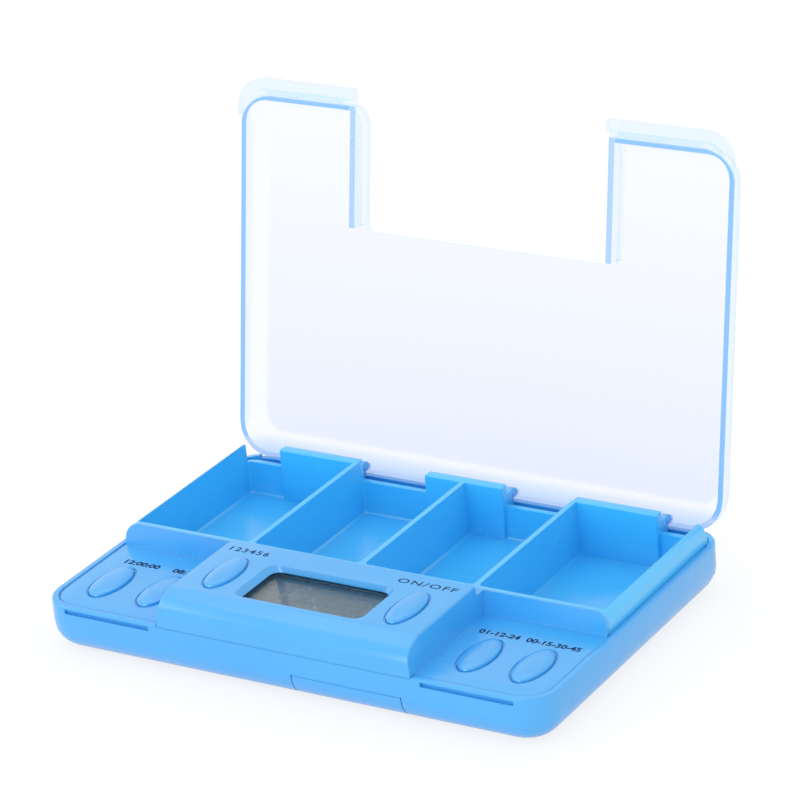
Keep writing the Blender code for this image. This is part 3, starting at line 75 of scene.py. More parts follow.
# The lid's hinge and how far the lid stands open
LID_HINGE = (0.0, 37.12 * MM, 11.55 * MM)
LID_TURN = (math.radians(-100.2), 0.0, 0.0)

# The closed lid, measured from its hinge: panel and rim heights, notch wall, front edge and corners
LID_PANEL_HEIGHT = 3.4 * MM
LID_RIM_HEIGHT = 0.5 * MM
NOTCH_WALL_OUTSIDE = 30.2 * MM
LID_FRONT = 74.9 * MM
LID_CORNER = 7.0 * MM

# The lid's colours
LID_PANEL = (0.22, 0.43, 0.92)
LID_RIM = (0.2, 0.46, 0.84)
LID_WALL = (0.1, 0.58, 0.97)
LID_WALL_SHADE = (0.13, 0.6, 0.98)
LID_REAR = (0.1, 0.42, 0.92)

# How far a normal on the closed lid points up: on the panel, on the rim from below, on upright walls
PANEL_LEVEL = (0.93, 0.99)
RIM_DOWNWARD = (-0.6, -0.9)
UPRIGHT_LEVEL = (0.3, 0.1)

# Where the closed lid's regions begin and end
PANEL_SPAN = (LID_PANEL_HEIGHT - QUICK_BLEND, LID_PANEL_HEIGHT)
RIM_SPAN = (LID_RIM_HEIGHT, LID_RIM_HEIGHT - QUICK_BLEND)
LIP_SPAN = (LID_CORNER + 0.05 * MM, LID_CORNER + 0.45 * MM)
NOTCH_SPAN = (NOTCH_WALL_OUTSIDE + SHARP_BLEND, NOTCH_WALL_OUTSIDE)
NOTCH_DEPTH_SPAN = (-48.0 * MM, -49.0 * MM)
REAR_TINT_SPAN = (-4.0 * MM, -1.0 * MM)

# The lid's opacity: the rim's, and that of its walls from facing the eye to edge on
RIM_ALPHA = 0.93
LIP_RIM_ALPHA = 0.1
NOTCH_EDGE_ALPHA = 0.08
WALL_ALPHA = (0.035, 0.36)
NOTCH_ALPHA = (0.0, 0.04)
NOTCH_RIM_SHARE = (1.0, 0.72)

# Further changes of the lid's opacity, each as a stretch of places and what it has at either end
FRONT_SHARE = ((-72.0 * MM, -74.0 * MM), (1.0, 0.9))
REAR_ALPHA = ((-2.5 * MM, 1.0 * MM), (0.0, 0.3))
OUTSIDE_ALPHA = ((OUTER_FACE - 0.5 * MM, OUTER_FACE - 0.2 * MM), (0.0, 0.1))
LIP_ALPHA = ((-74.0 * MM, -75.0 * MM), (0.0, 0.035))
PANEL_ALPHA = ((-76.0 * MM, 0.0), (0.025, 0.13))
HINGE_RIM_SHARE = ((-3.0 * MM, -1.5 * MM), (1.0, 0.55))

# The display's colours
LCD_WARM = (0.185, 0.2, 0.195)
LCD_MIDDLE = (0.125, 0.17, 0.2)
LCD_COOL = (0.085, 0.14, 0.185)
LCD_BAND = (0.03, 0.075, 0.15)
LCD_PALE_LINE = (0.5, 0.55, 0.6)
# Painted shadow: the dark navy of the display's back and left edges, where the bezel shades it
LCD_PAINTED_SHADOW = (0.02, 0.1, 0.21)

# The display's painted shadow along its back and left edges, and the dark slanting band across it
LCD_SHADOW_BACK = 19.2 * MM - HALF_DEPTH
LCD_SHADOW_LEFT = -13.2 * MM
BAND_PLACE = (-9.2 * MM, 15.8 * MM - HALF_DEPTH, 0.0)
BAND_TURN = math.atan2(7.9, 10.2)

# Distances to the right of the dark band: changes of tint, the band's own flanks, and a pale line
LCD_MIDDLE_SPAN = (-0.4 * MM, 0.4 * MM)
LCD_COOL_SPAN = (1.0 * MM, 12.0 * MM)
BAND_START = (-0.7 * MM, -0.4 * MM)
BAND_END = (0.5 * MM, 1.1 * MM)
BAND_STRENGTH = 0.95
PALE_LINE_START = (5.2 * MM, 5.35 * MM)
PALE_LINE_END = (5.45 * MM, 5.6 * MM)
PALE_LINE_STRENGTH = 0.35

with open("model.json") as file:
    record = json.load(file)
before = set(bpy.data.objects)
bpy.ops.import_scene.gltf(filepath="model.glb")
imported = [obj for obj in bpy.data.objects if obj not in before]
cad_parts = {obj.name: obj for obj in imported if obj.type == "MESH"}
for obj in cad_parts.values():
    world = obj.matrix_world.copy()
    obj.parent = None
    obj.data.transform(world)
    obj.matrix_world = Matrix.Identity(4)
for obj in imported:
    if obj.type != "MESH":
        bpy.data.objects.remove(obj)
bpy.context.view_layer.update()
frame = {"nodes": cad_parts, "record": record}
scene = bpy.context.scene


# Node helpers

def new_material(name):
    made = bpy.data.materials.new(name)
    made.use_nodes = True
    tree = made.node_tree
    tree.nodes.clear()
    return made, tree


def add(tree, kind, settings=None, inputs=None):
    """One node with its settings and input values."""
    node = tree.nodes.new(kind)
    for key, value in (settings or {}).items():
        setattr(node, key, value)
    for key, value in (inputs or {}).items():
        if hasattr(value, "node"):
            tree.links.new(value, node.inputs[key])
        else:
            node.inputs[key].default_value = value
    return node


def place_of(tree):
    """Coordinates in metres, fixed to the piece."""
    return add(tree, "ShaderNodeTexCoord").outputs["Object"]


def parts_of(tree, vector):
    """A vector's X, Y and Z."""
    return add(tree, "ShaderNodeSeparateXYZ", inputs={"Vector": vector}).outputs


def noise(tree, scale, detail=3.0, rough=0.5):
    node = add(tree, "ShaderNodeTexNoise", inputs={
        "Vector": place_of(tree), "Scale": scale, "Detail": detail, "Roughness": rough})
    return node.outputs["Fac"]


def ramp(tree, value, span, result=UNIT):
    """Maps the span of a value to a result that stays level beyond it."""
    node = add(tree, "ShaderNodeMapRange", inputs={
        "Value": value, "From Min": span[0], "From Max": span[1], "To Min": result[0], "To Max": result[1]})
    return node.outputs["Result"]


def combine(tree, operation, first, second):
    return add(tree, "ShaderNodeMath", {"operation": operation}, {0: first, 1: second}).outputs["Value"]


def times(tree, first, *others):
    for other in others:
        first = combine(tree, 'MULTIPLY', first, other)
    return first


def absolute(tree, value):
    return add(tree, "ShaderNodeMath", {"operation": 'ABSOLUTE'}, {0: value}).outputs["Value"]


def blend_value(tree, factor, first, second):
    node = add(tree, "ShaderNodeMix", {"data_type": 'FLOAT'}, {"Factor": factor, "A": first, "B": second})
    return node.outputs["Result"]


def blend_colour(tree, factor, first, second):
    node = add(tree, "ShaderNodeMix", {"data_type": 'RGBA'})
    for key, value in (("Factor", factor), ("A", first), ("B", second)):
        socket = [item for item in node.inputs if item.name == key and item.enabled][0]
        if hasattr(value, "node"):
            tree.links.new(value, socket)
        else:
            socket.default_value = (*value, 1.0)
    return [item for item in node.outputs if item.enabled][0]


def edge_on(tree, power):
    """0 where the surface faces the eye, rising late to 1 where it is seen edge on."""
    facing = add(tree, "ShaderNodeLayerWeight", inputs={"Blend": 0.5}).outputs["Facing"]
    return combine(tree, 'POWER', facing, power)


def surface(tree, inputs, bump=None, bump_size=0.0, edge=None):
    """A Principled surface, with a bump and soft edges where asked."""
    shader = add(tree, "ShaderNodeBsdfPrincipled", inputs=inputs)
    normal = None
    if edge is not None:
        normal = add(tree, "ShaderNodeBevel", {"samples": BEVEL_SAMPLES}, {"Radius": edge}).outputs["Normal"]
    if bump is not None:
        raised = add(tree, "ShaderNodeBump", inputs={"Height": bump, "Distance": bump_size, "Strength": 1.0})
        if normal is not None:
            tree.links.new(normal, raised.inputs["Normal"])
        normal = raised.outputs["Normal"]
    if normal is not None:
        tree.links.new(normal, shader.inputs["Normal"])
    out = add(tree, "ShaderNodeOutputMaterial")
    tree.links.new(shader.outputs["BSDF"], out.inputs["Surface"])


# Materials

def moulded(tree, tint, rough, ior, haze, edge):
    """The surface of moulded plastic: fine grain and small changes of gloss."""
    spots = noise(tree, scale=160.0, detail=5.0, rough=0.6)
    gloss = ramp(tree, spots, WIDE_SPAN, result=[rough + change for change in PLASTIC_DRIFT])
    surface(tree, {"Base Color": tint, "Roughness": gloss, "IOR": ior, "Sheen Weight": haze},
            bump=noise(tree, scale=2600.0, detail=2.0), bump_size=GRAIN_DEPTH, edge=edge)


def slow_drift(tree):
    """Changes slowly from place to place, for a slight drift of colour."""
    return ramp(tree, noise(tree, scale=35.0, detail=4.0), NOISE_SPAN)


def plastic(name, colour, shade, rough, edge=SOFT_EDGE, ior=ORDINARY, haze=0.0):
    """Moulded plastic with a slight drift of colour."""
    made, tree = new_material(name)
    moulded(tree, blend_colour(tree, slow_drift(tree), colour, shade), rough, ior, haze, edge)
    return made


def case_plastic(name, rough):
    """The case's blue plastic, painted paler in the thin-walled tray as painted light coming through its
    walls; the tray's inner corners are crisp.
    """
    made, tree = new_material(name)
    spot = parts_of(tree, place_of(tree))
    behind_front = ramp(tree, spot["Y"], (TRAY_FRONT - SLOW_BLEND, TRAY_FRONT))
    within_sides = ramp(tree, absolute(tree, spot["X"]), (TRAY_HALF_WIDTH + QUICK_BLEND, TRAY_HALF_WIDTH))
    before_rear = ramp(tree, spot["Y"], (TRAY_REAR, TRAY_REAR + QUICK_BLEND), FALLING)
    in_tray = times(tree, behind_front, within_sides, before_rear)
    drift = slow_drift(tree)
    # Painted light: the tray takes paler colours, standing in for light let through its thin walls
    tint = blend_colour(tree, in_tray, blend_colour(tree, drift, BLUE, BLUE_SHADE),
                        blend_colour(tree, drift, BLUE_TRAY_PAINTED_LIGHT, BLUE_TRAY_PAINTED_LIGHT_DRIFT))
    below_tops = ramp(tree, spot["Z"], (TRAY_TOPS, TRAY_TOPS + SLOW_BLEND), FALLING)
    edge = ramp(tree, times(tree, below_tops, in_tray), UNIT, result=(SOFT_EDGE, 0.0))
    moulded(tree, tint, rough, GLOSSY, HAZE, edge)
    return made


def metal(name, colour, rough):
    made, tree = new_material(name)
    dull = [METAL_DULL * part for part in colour]
    tint = blend_colour(tree, noise(tree, scale=220.0, detail=4.0), colour, dull)
    spots = noise(tree, scale=900.0, detail=4.0)
    gloss = ramp(tree, spots, WIDE_SPAN, result=[rough + change for change in METAL_DRIFT])
    surface(tree, {"Base Color": tint, "Roughness": gloss, "Metallic": 1.0},
            bump=noise(tree, scale=3000.0), bump_size=0.004 * MM, edge=0.1 * MM)
    return made


def closed_lid(tree):
    """X, Y, Z of the place and of the normal as on the closed lid, the place measured from its hinge."""
    place = add(tree, "ShaderNodeMapping", {"vector_type": 'TEXTURE'}, {
        "Vector": place_of(tree), "Location": LID_HINGE, "Rotation": LID_TURN})
    normal = add(tree, "ShaderNodeTexCoord").outputs["Normal"]
    turned = add(tree, "ShaderNodeMapping", {"vector_type": 'TEXTURE'}, {
        "Vector": normal, "Rotation": LID_TURN})
    return parts_of(tree, place.outputs["Vector"]), parts_of(tree, turned.outputs["Vector"])


def lid_lip(tree, across, along):
    """0 on the lid's rim, 1 on the lip in front of it, round the corners too."""
    forward = combine(tree, 'MULTIPLY', along, -1.0)
    past_side = combine(tree, 'SUBTRACT', across, OUTER_FACE - LID_CORNER)
    past_front = combine(tree, 'SUBTRACT', forward, LID_FRONT - LID_CORNER)
    corner = add(tree, "ShaderNodeCombineXYZ", inputs={
        "X": combine(tree, 'MAXIMUM', past_side, 0.0), "Y": combine(tree, 'MAXIMUM', past_front, 0.0)})
    reach = add(tree, "ShaderNodeVectorMath", {"operation": 'LENGTH'}, {0: corner.outputs["Vector"]})
    return ramp(tree, reach.outputs["Value"], LIP_SPAN)


def lid_plastic(name):
    """Pale blue clear plastic, palest on the panel and deepest on the rim, which is seen end on."""
    made, tree = new_material(name)
    place, normal = closed_lid(tree)
    across = absolute(tree, place["X"])
    along = place["Y"]
    level = absolute(tree, normal["Z"])
    high = ramp(tree, place["Z"], PANEL_SPAN)
    low = ramp(tree, place["Z"], RIM_SPAN)
    is_panel = times(tree, ramp(tree, level, PANEL_LEVEL), high)
    is_rim = times(tree, ramp(tree, normal["Z"], RIM_DOWNWARD), low)
    on_lip = lid_lip(tree, across, along)

    cloud = ramp(tree, noise(tree, scale=22.0), NOISE_SPAN)
    tint = blend_colour(tree, cloud, LID_WALL, LID_WALL_SHADE)
    tint = blend_colour(tree, ramp(tree, along, REAR_TINT_SPAN), tint, LID_REAR)
    tint = blend_colour(tree, is_panel, tint, LID_PANEL)
    tint = blend_colour(tree, is_rim, tint, LID_RIM)
    tint = blend_colour(tree, on_lip, tint, LID_WALL)

    beside_notch = ramp(tree, along, NOTCH_DEPTH_SPAN)
    upright = ramp(tree, level, UPRIGHT_LEVEL)
    slant = edge_on(tree, power=4.0)
    wall_alpha = times(tree, ramp(tree, slant, UNIT, WALL_ALPHA), ramp(tree, along, *FRONT_SHARE))
    for extra in (ramp(tree, along, *REAR_ALPHA), ramp(tree, across, *OUTSIDE_ALPHA),
                  ramp(tree, along, *LIP_ALPHA),
                  times(tree, ramp(tree, across, NOTCH_SPAN, NOTCH_ALPHA), beside_notch),
                  times(tree, upright, high, beside_notch, NOTCH_EDGE_ALPHA)):
        wall_alpha = combine(tree, 'ADD', wall_alpha, extra)
    rim_alpha = times(tree, ramp(tree, on_lip, UNIT, (RIM_ALPHA, LIP_RIM_ALPHA)),
                      ramp(tree, along, *HINGE_RIM_SHARE), ramp(tree, across, NOTCH_SPAN, NOTCH_RIM_SHARE))
    alpha = blend_value(tree, is_panel, wall_alpha, ramp(tree, along, *PANEL_ALPHA))
    alpha = blend_value(tree, is_rim, alpha, rim_alpha)

    rough = ramp(tree, noise(tree, scale=120.0, detail=4.0), NOISE_SPAN, result=(0.04, 0.1))
    surface(tree, {"Base Color": tint, "Roughness": rough, "IOR": CLEAR, "Alpha": alpha},
            bump=noise(tree, scale=300.0, detail=2.0), bump_size=0.004 * MM)
    return made


def window_plastic(name):
    """Clear lens over the display: seen only by its gloss at a slant."""
    made, tree = new_material(name)
    alpha = ramp(tree, edge_on(tree, power=5.0), UNIT, result=(0.012, 0.45))
    rough = ramp(tree, noise(tree, scale=200.0, detail=4.0), NOISE_SPAN, result=(0.02, 0.06))
    tint = blend_colour(tree, noise(tree, scale=60.0), (0.35, 0.5, 0.6), (0.4, 0.55, 0.65))
    surface(tree, {"Base Color": tint, "Roughness": rough, "IOR": CLEAR, "Alpha": alpha})
    return made


def display_face(name):
    """Grey liquid crystal glass, warmer to the left of a dark slanting band, with a painted shadow along its
    back and left edges.
    """
    made, tree = new_material(name)
    where = place_of(tree)
    turned = add(tree, "ShaderNodeMapping", {"vector_type": 'TEXTURE'}, {
        "Vector": where, "Location": BAND_PLACE, "Rotation": (0.0, 0.0, BAND_TURN)})
    off = parts_of(tree, turned.outputs["Vector"])["X"]
    tint = blend_colour(tree, ramp(tree, off, LCD_MIDDLE_SPAN), LCD_WARM, LCD_MIDDLE)
    tint = blend_colour(tree, ramp(tree, off, LCD_COOL_SPAN), tint, LCD_COOL)
    dark_band = times(tree, ramp(tree, off, BAND_START), ramp(tree, off, BAND_END, FALLING),
                   BAND_STRENGTH)
    tint = blend_colour(tree, dark_band, tint, LCD_BAND)
    pale_line = times(tree, ramp(tree, off, PALE_LINE_START), ramp(tree, off, PALE_LINE_END, FALLING),
                   PALE_LINE_STRENGTH)
    tint = blend_colour(tree, pale_line, tint, LCD_PALE_LINE)
    spot = parts_of(tree, where)
    # Painted shadow along the display's back and left edges, where the bezel shades it
    shadow_at_back = ramp(tree, spot["Y"], (LCD_SHADOW_BACK - SLOW_BLEND, LCD_SHADOW_BACK))
    shadow_at_left = ramp(tree, spot["X"], (LCD_SHADOW_LEFT + SLOW_BLEND, LCD_SHADOW_LEFT))
    tint = blend_colour(tree, combine(tree, 'MAXIMUM', shadow_at_back, shadow_at_left), tint, LCD_PAINTED_SHADOW)
    cloud = ramp(tree, noise(tree, scale=260.0, detail=4.0), NOISE_SPAN, result=(0.0, 0.2))
    tint = blend_colour(tree, cloud, tint, LCD_COOL)
    gloss = ramp(tree, noise(tree, scale=900.0), WIDE_SPAN, result=(0.25, 0.35))
    surface(tree, {"Base Color": tint, "Roughness": gloss},
            bump=noise(tree, scale=4000.0, detail=2.0), bump_size=0.003 * MM)
    return made


FINISHES = {
    "blue_plastic": case_plastic("blue_plastic_look", 0.22),
    "button_plastic": plastic("button_plastic_look", BLUE_SHADE, BLUE, 0.2, ior=GLOSSY, haze=HAZE),
    "clear_plastic": lid_plastic("clear_plastic_look"),
    "window_plastic": window_plastic("window_plastic_look"),
    "display_glass": display_face("display_glass_look"),
    "silicone_rubber": plastic("silicone_rubber_look", (0.5, 0.5, 0.52), (0.55, 0.55, 0.57), 0.6),
    # The display holder's white plastic is coloured dark navy: painted shade at the display's edges, where
    # the holder lies in shadow
    "white_plastic": plastic("holder_painted_shade_look", (0.03, 0.13, 0.27), (0.035, 0.14, 0.29), 0.45),
    "black_plastic": plastic("black_plastic_look", (0.02, 0.02, 0.022), (0.03, 0.03, 0.032), 0.45),
    "circuit_board": plastic("circuit_board_look", (0.02, 0.2, 0.07), (0.03, 0.26, 0.1), 0.4),
    "steel": metal("steel_look", (0.62, 0.62, 0.64), 0.3),
    "brass": metal("brass_look", (0.72, 0.55, 0.24), 0.35),
    "ceramic": plastic("ceramic_look", (0.72, 0.7, 0.64), (0.78, 0.76, 0.7), 0.5),
}
DECK_INK = plastic("deck_ink", (0.006, 0.02, 0.075), (0.01, 0.03, 0.095), 0.7, edge=None, ior=MATT)
CONSOLE_INK = plastic("console_ink", (0.02, 0.05, 0.12), (0.03, 0.07, 0.15), 0.7, edge=None, ior=MATT)
SEGMENT_INK = plastic("segment_ink", (0.1, 0.138, 0.165), (0.11, 0.15, 0.172), 0.4, edge=None)


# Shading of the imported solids: smooth, but with edges kept where faces meet at more than an angle

SMOOTH_BELOW = math.radians(27.0)
SAME_POINT = 0.001 * MM


def smoothing_group():
    """A modifier's node group that shades smooth, but keeps the sharper edges."""
    group = bpy.data.node_groups.new("smooth_by_angle", "GeometryNodeTree")
    group.interface.new_socket("Geometry", in_out='INPUT', socket_type='NodeSocketGeometry')
    group.interface.new_socket("Geometry", in_out='OUTPUT', socket_type='NodeSocketGeometry')
    nodes = group.nodes
    links = group.links
    entry = nodes.new("NodeGroupInput")
    leave = nodes.new("NodeGroupOutput")
    merge = nodes.new("GeometryNodeMergeByDistance")
    merge.inputs["Distance"].default_value = SAME_POINT
    faces = nodes.new("GeometryNodeSetShadeSmooth")
    edges = nodes.new("GeometryNodeSetShadeSmooth")
    edges.domain = 'EDGE'
    angle = nodes.new("GeometryNodeInputMeshEdgeAngle")
    below = nodes.new("FunctionNodeCompare")
    below.operation = 'LESS_THAN'
    below.inputs[1].default_value = SMOOTH_BELOW
    links.new(entry.outputs[0], merge.inputs["Geometry"])
    links.new(merge.outputs["Geometry"], faces.inputs["Geometry"])
    links.new(faces.outputs["Geometry"], edges.inputs["Geometry"])
    links.new(angle.outputs["Unsigned Angle"], below.inputs[0])
    links.new(below.outputs[0], edges.inputs["Shade Smooth"])
    links.new(edges.outputs["Geometry"], leave.inputs[0])
    return group


smooth = smoothing_group()
slot_of = {part["node"]: part["material_slot"] for part in frame["record"]["subparts"]}
for name, node in frame["nodes"].items():
    node.data.materials.clear()
    node.data.materials.append(FINISHES[slot_of[name]])
    step = node.modifiers.new("smooth", 'NODES')
    step.node_group = smooth


# Lettering: plain numbers in the place of each word, and the switch's ON and OFF

# Each label's text and the two ends of its line, in millimetres
DECK_LABELS = {
    "label_time": ("12:00:00", -49.9, -41.8),
    "label_alarm": ("08:30:00", -38.6, -29.9),
    "label_hour": ("01-12-24", 30.8, 39.5),
    "label_minute": ("00-15-30-45", 40.9, 52.4),
}
CONSOLE_LABELS = {
    "label_memo": ("123456", -25.4, -16.6),
    "label_switch": ("ON/OFF", 12.6, 25.5),
}
INK_RAISED = 0.004 * MM
INK_THICKNESS = 0.02 * MM
DRAWN_DEPTH = 0.5


def print_on(name, text, left, right, front, tall, height, finish, bold=0.012, spread=1.0):
    """Flat lettering that fills the width and height given, on a level face."""
    curve = bpy.data.curves.new(name, 'FONT')
    curve.body = text
    curve.extrude = DRAWN_DEPTH
    curve.offset = bold
    curve.space_character = spread
    drawn = bpy.data.objects.new(name + "_drawn", curve)
    scene.collection.objects.link(drawn)
    mesh = bpy.data.meshes.new_from_object(drawn.evaluated_get(bpy.context.evaluated_depsgraph_get()))
    bpy.data.objects.remove(drawn)
    low = [min(vertex.co[axis] for vertex in mesh.vertices) for axis in range(3)]
    high = [max(vertex.co[axis] for vertex in mesh.vertices) for axis in range(3)]
    start = (left, front - HALF_DEPTH, height)
    size = (right - left, tall, INK_THICKNESS)
    for vertex in mesh.vertices:
        for axis in range(3):
            share = (vertex.co[axis] - low[axis]) / (high[axis] - low[axis])
            vertex.co[axis] = start[axis] + share * size[axis]
    mesh.name = name
    mesh.materials.clear()
    mesh.materials.append(finish)
    made = bpy.data.objects.new(name, mesh)
    scene.collection.objects.link(made)
    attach(made, "case")


for name, (text, left, right) in DECK_LABELS.items():
    print_on(name, text, left * MM, right * MM, front=21.0 * MM, tall=1.6 * MM,
             height=DECK_TOP + INK_RAISED, finish=DECK_INK, bold=0.026)
for name, (text, left, right) in CONSOLE_LABELS.items():
    print_on(name, text, left * MM, right * MM, front=22.7 * MM, tall=1.65 * MM,
             height=CONSOLE_TOP + INK_RAISED, finish=CONSOLE_INK, bold=0.01, spread=1.2)
print_on("display_digits", "12:00", -8.0 * MM, 10.0 * MM, front=12.2 * MM, tall=5.0 * MM,
         height=LCD_TOP + INK_RAISED, finish=SEGMENT_INK)


# Closing lips inside the seams and round the push buttons, which keep the gaps shallow

# Each button hole in millimetres: its middle, half width, half length and the level of the face round it
BUTTON_HOLES = {
    "time": ((-47.2, 12.8), 3.55, 7.1, 10.0),
    "alarm": ((-35.8, 12.8), 3.55, 7.1, 10.0),
    "memo": ((-20.3, 13.6), 3.2, 7.0, 16.5),
    "on_off": ((20.3, 13.6), 3.2, 7.0, 16.5),
    "hour": ((35.8, 12.8), 3.55, 7.1, 10.0),
    "minute": ((47.2, 12.8), 3.55, 7.1, 10.0),
}
OVAL_POINTS = 48

# A button's lip, in millimetres: insets from the hole's edge, and depths below the face
WELL_OUTER = 0.02
WELL_INNER = 0.36
WELL_FOOT = 0.9
WELL_TOP = 0.2

# The seam round the deck, in millimetres: the case's half width and corners, and the seam's two ends
CASE_HALF_WIDTH = 56.0
CASE_CORNER = 7.0
CORNER_STEPS = 12
SEAM_START = 28.6
SEAM_REAR = 69.5


def case_trim(name, shape):
    """Makes an object of a finished shape, in the case's plastic."""
    mesh = bpy.data.meshes.new(name)
    shape.to_mesh(mesh)
    shape.free()
    mesh.materials.append(FINISHES["blue_plastic"])
    made = bpy.data.objects.new(name, mesh)
    scene.collection.objects.link(made)
    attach(made, "case")


def band(name, outer, inner, low, high, closed=False):
    """A strip between two lines of points, from one level to another, in millimetres from the front."""
    shape = bmesh.new()
    rows = [[shape.verts.new((x * MM, y * MM - HALF_DEPTH, level * MM)) for x, y in line]
            for line, level in ((outer, low), (inner, low), (inner, high), (outer, high))]
    count = len(outer)
    for index in range(count if closed else count - 1):
        after = (index + 1) % count
        for one, other in ((0, 1), (1, 2), (2, 3), (3, 0)):
            shape.faces.new((rows[one][index], rows[one][after], rows[other][after], rows[other][index]))
    if not closed:
        shape.faces.new([row[0] for row in rows])
        shape.faces.new([row[-1] for row in reversed(rows)])
    bmesh.ops.recalc_face_normals(shape, faces=shape.faces)
    case_trim(name, shape)


def oval(centre, half_width, half_length):
    angles = [math.tau * step / OVAL_POINTS for step in range(OVAL_POINTS)]
    return [(centre[0] + half_width * math.cos(angle), centre[1] + half_length * math.sin(angle))
            for angle in angles]


def case_line(side, inset):
    """Along the front and one side of the deck, at an inset from the case's outside."""
    middle = CASE_HALF_WIDTH - CASE_CORNER
    radius = CASE_CORNER - inset
    points = [(side * SEAM_START, inset)]
    for step in range(CORNER_STEPS + 1):
        angle = math.pi / 2 * step / CORNER_STEPS
        points.append((side * (middle + radius * math.sin(angle)), CASE_CORNER - radius * math.cos(angle)))
    return points + [(side * (CASE_HALF_WIDTH - inset), SEAM_REAR)]


def front_seam(name, left, right, front, back, low, high):
    """A straight lip in a seam along the front."""
    band(name, [(left, front), (right, front)], [(left, back), (right, back)], low, high)


for name, (centre, half_width, half_length, level) in BUTTON_HOLES.items():
    band("button_well_" + name, oval(centre, half_width - WELL_OUTER, half_length - WELL_OUTER),
         oval(centre, half_width - WELL_INNER, half_length - WELL_INNER),
         level - WELL_FOOT, level - WELL_TOP, closed=True)
for name, side in (("left", -1), ("right", 1)):
    band("deck_seam_" + name, case_line(side, inset=1.27), case_line(side, inset=1.48), low=9.1, high=9.93)
front_seam("console_seam", left=-28.55, right=28.55, front=0.04, back=1.2, low=9.71, high=9.94)
front_seam("door_seam_top", left=1.95, right=25.65, front=0.05, back=1.2, low=5.26, high=5.44)


# Caps over the ends of the hinge's pins

CAP_RADIUS = 0.99 * MM
CAP_TOP_RADIUS = 0.85 * MM
CAP_GAP = 0.02 * MM
CAP_HEIGHT = 0.2 * MM
CAP_SIDES = 32
EAR_FACES = {
    "left": (-43.8 * MM, -25.9 * MM),
    "middle": (-9.0 * MM, 9.0 * MM),
    "right": (25.9 * MM, 43.8 * MM),
}


def pin_cap(name, face, side):
    """A low cap with a sloping edge on an ear's outer face, on the hinge's axis."""
    shape = bmesh.new()
    turn = Matrix.Rotation(side * math.pi / 2, 4, 'Y')
    middle = Matrix.Translation((face + side * (CAP_GAP + CAP_HEIGHT / 2), LID_HINGE[1], LID_HINGE[2]))
    bmesh.ops.create_cone(shape, cap_ends=True, segments=CAP_SIDES, radius1=CAP_RADIUS,
                          radius2=CAP_TOP_RADIUS, depth=CAP_HEIGHT, matrix=middle @ turn)
    case_trim(name, shape)


for name, (left, right) in EAR_FACES.items():
    pin_cap("pin_cap_" + name + "_a", left, -1)
    pin_cap("pin_cap_" + name + "_b", right, 1)


# Floor and light

WHITE = (1.0, 1.0, 1.0, 1.0)
FLOOR_SIZE = 6.0
FLOOR_HEIGHT = -0.2 * MM
FLOOR_GLOW = 0.8
WORLD_LIGHT = 1.0
WORLD_SEEN = 1.0

# Each lamp's place, what it is aimed at, its size and its power in watts
LAMPS = {
    "softbox_top": ((-0.1, 0.15, 0.75), (0.0, 0.0, 0.0), (0.8, 0.6), 0.7),
    "softbox_left": ((-0.7, -0.35, 0.35), (0.0, 0.0, 0.02), (0.5, 0.5), 0.9),
    "softbox_front": ((0.12, -0.88, 0.2), (0.0, 0.0, 0.02), (0.6, 0.4), 1.9),
}


def seen_ray(tree):
    """1 for what the camera sees, directly, in gloss or through something clear."""
    path = add(tree, "ShaderNodeLightPath").outputs
    direct = combine(tree, 'MAXIMUM', path["Is Camera Ray"], path["Is Glossy Ray"])
    return combine(tree, 'MAXIMUM', direct, path["Is Transmission Ray"])


def floor_paper(name):
    """White paper that lights the object as paper does, and shows pale with a faint shadow."""
    made, tree = new_material(name)
    grain = noise(tree, scale=8.0)
    plain = add(tree, "ShaderNodeBsdfDiffuse", inputs={
        "Color": blend_colour(tree, grain, (0.84, 0.84, 0.84), (0.86, 0.86, 0.86))})
    pale = add(tree, "ShaderNodeBsdfDiffuse", inputs={
        "Color": blend_colour(tree, grain, (0.18, 0.18, 0.18), (0.19, 0.19, 0.19))})
    glow = add(tree, "ShaderNodeEmission", inputs={"Color": WHITE, "Strength": FLOOR_GLOW})
    shown = add(tree, "ShaderNodeAddShader", inputs={0: pale.outputs["BSDF"], 1: glow.outputs["Emission"]})
    mix = add(tree, "ShaderNodeMixShader", inputs={
        "Fac": seen_ray(tree), 1: plain.outputs["BSDF"], 2: shown.outputs["Shader"]})
    out = add(tree, "ShaderNodeOutputMaterial")
    tree.links.new(mix.outputs["Shader"], out.inputs["Surface"])
    return made


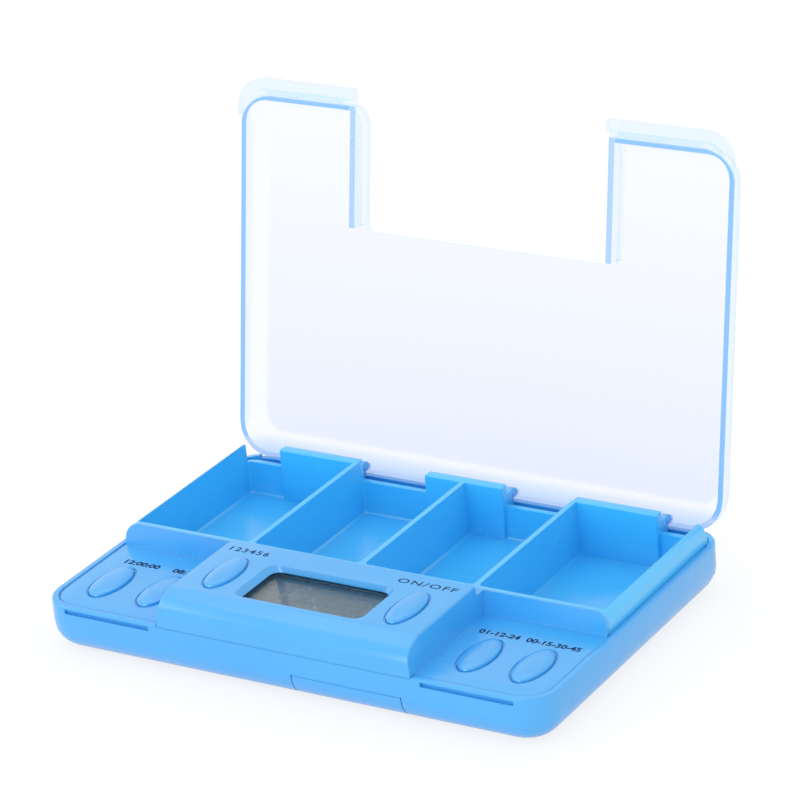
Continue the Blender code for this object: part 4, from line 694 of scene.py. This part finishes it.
def white_world():
    """A white world, with one strength for the light it gives and one for what is seen of it."""
    world = bpy.data.worlds.new("studio")
    scene.world = world
    world.use_nodes = True
    tree = world.node_tree
    tree.nodes.clear()
    light = add(tree, "ShaderNodeBackground", inputs={"Color": WHITE, "Strength": WORLD_LIGHT})
    seen = add(tree, "ShaderNodeBackground", inputs={"Color": WHITE, "Strength": WORLD_SEEN})
    mix = add(tree, "ShaderNodeMixShader", inputs={
        "Fac": seen_ray(tree), 1: light.outputs["Background"], 2: seen.outputs["Background"]})
    out = add(tree, "ShaderNodeOutputWorld")
    tree.links.new(mix.outputs["Shader"], out.inputs["Surface"])


def soft_light(name, place, aim, size, power):
    data = bpy.data.lights.new(name, 'AREA')
    data.shape = 'RECTANGLE'
    data.size = size[0]
    data.size_y = size[1]
    data.energy = power
    made = bpy.data.objects.new(name, data)
    made.location = place
    made.rotation_euler = (Vector(aim) - Vector(place)).to_track_quat('-Z', 'Y').to_euler()
    scene.collection.objects.link(made)


bpy.ops.mesh.primitive_plane_add(size=FLOOR_SIZE, location=(0.0, 0.0, FLOOR_HEIGHT))
floor = bpy.context.object
floor.name = "floor"
floor.data.materials.append(floor_paper("floor_look"))
white_world()
for name, (place, aim, size, power) in LAMPS.items():
    soft_light(name, place, aim, size, power)


# Camera, fitted to the photograph's edges and corners: lift, turn and roll in degrees, place and lens

CAMERA_ANGLES = (23.390, 32.198, -4.717)
CAMERA_PLACE = (364.67 * MM, -568.08 * MM, 337.32 * MM)
FOCAL_PIXELS = 3831.33
PHOTO_WIDTH = 800.0
SENSOR_WIDTH = 36.0
NEAREST_SEEN = 0.05


def make_camera():
    lift, turn, roll = (math.radians(value) for value in CAMERA_ANGLES)
    ahead = Vector((-math.sin(turn) * math.cos(lift), math.cos(turn) * math.cos(lift), -math.sin(lift)))
    right = Vector((math.cos(turn), math.sin(turn), 0.0))
    up = right.cross(ahead)
    rolled_right = math.cos(roll) * right + math.sin(roll) * up
    rolled_up = -math.sin(roll) * right + math.cos(roll) * up
    data = bpy.data.cameras.new("camera")
    data.sensor_width = SENSOR_WIDTH
    data.lens = FOCAL_PIXELS / PHOTO_WIDTH * SENSOR_WIDTH
    data.clip_start = NEAREST_SEEN
    made = bpy.data.objects.new("camera", data)
    turned = Matrix((rolled_right, rolled_up, -ahead)).transposed().to_4x4()
    made.matrix_world = Matrix.Translation(CAMERA_PLACE) @ turned
    scene.collection.objects.link(made)
    scene.camera = made


make_camera()
scene.view_settings.view_transform = 'Standard'
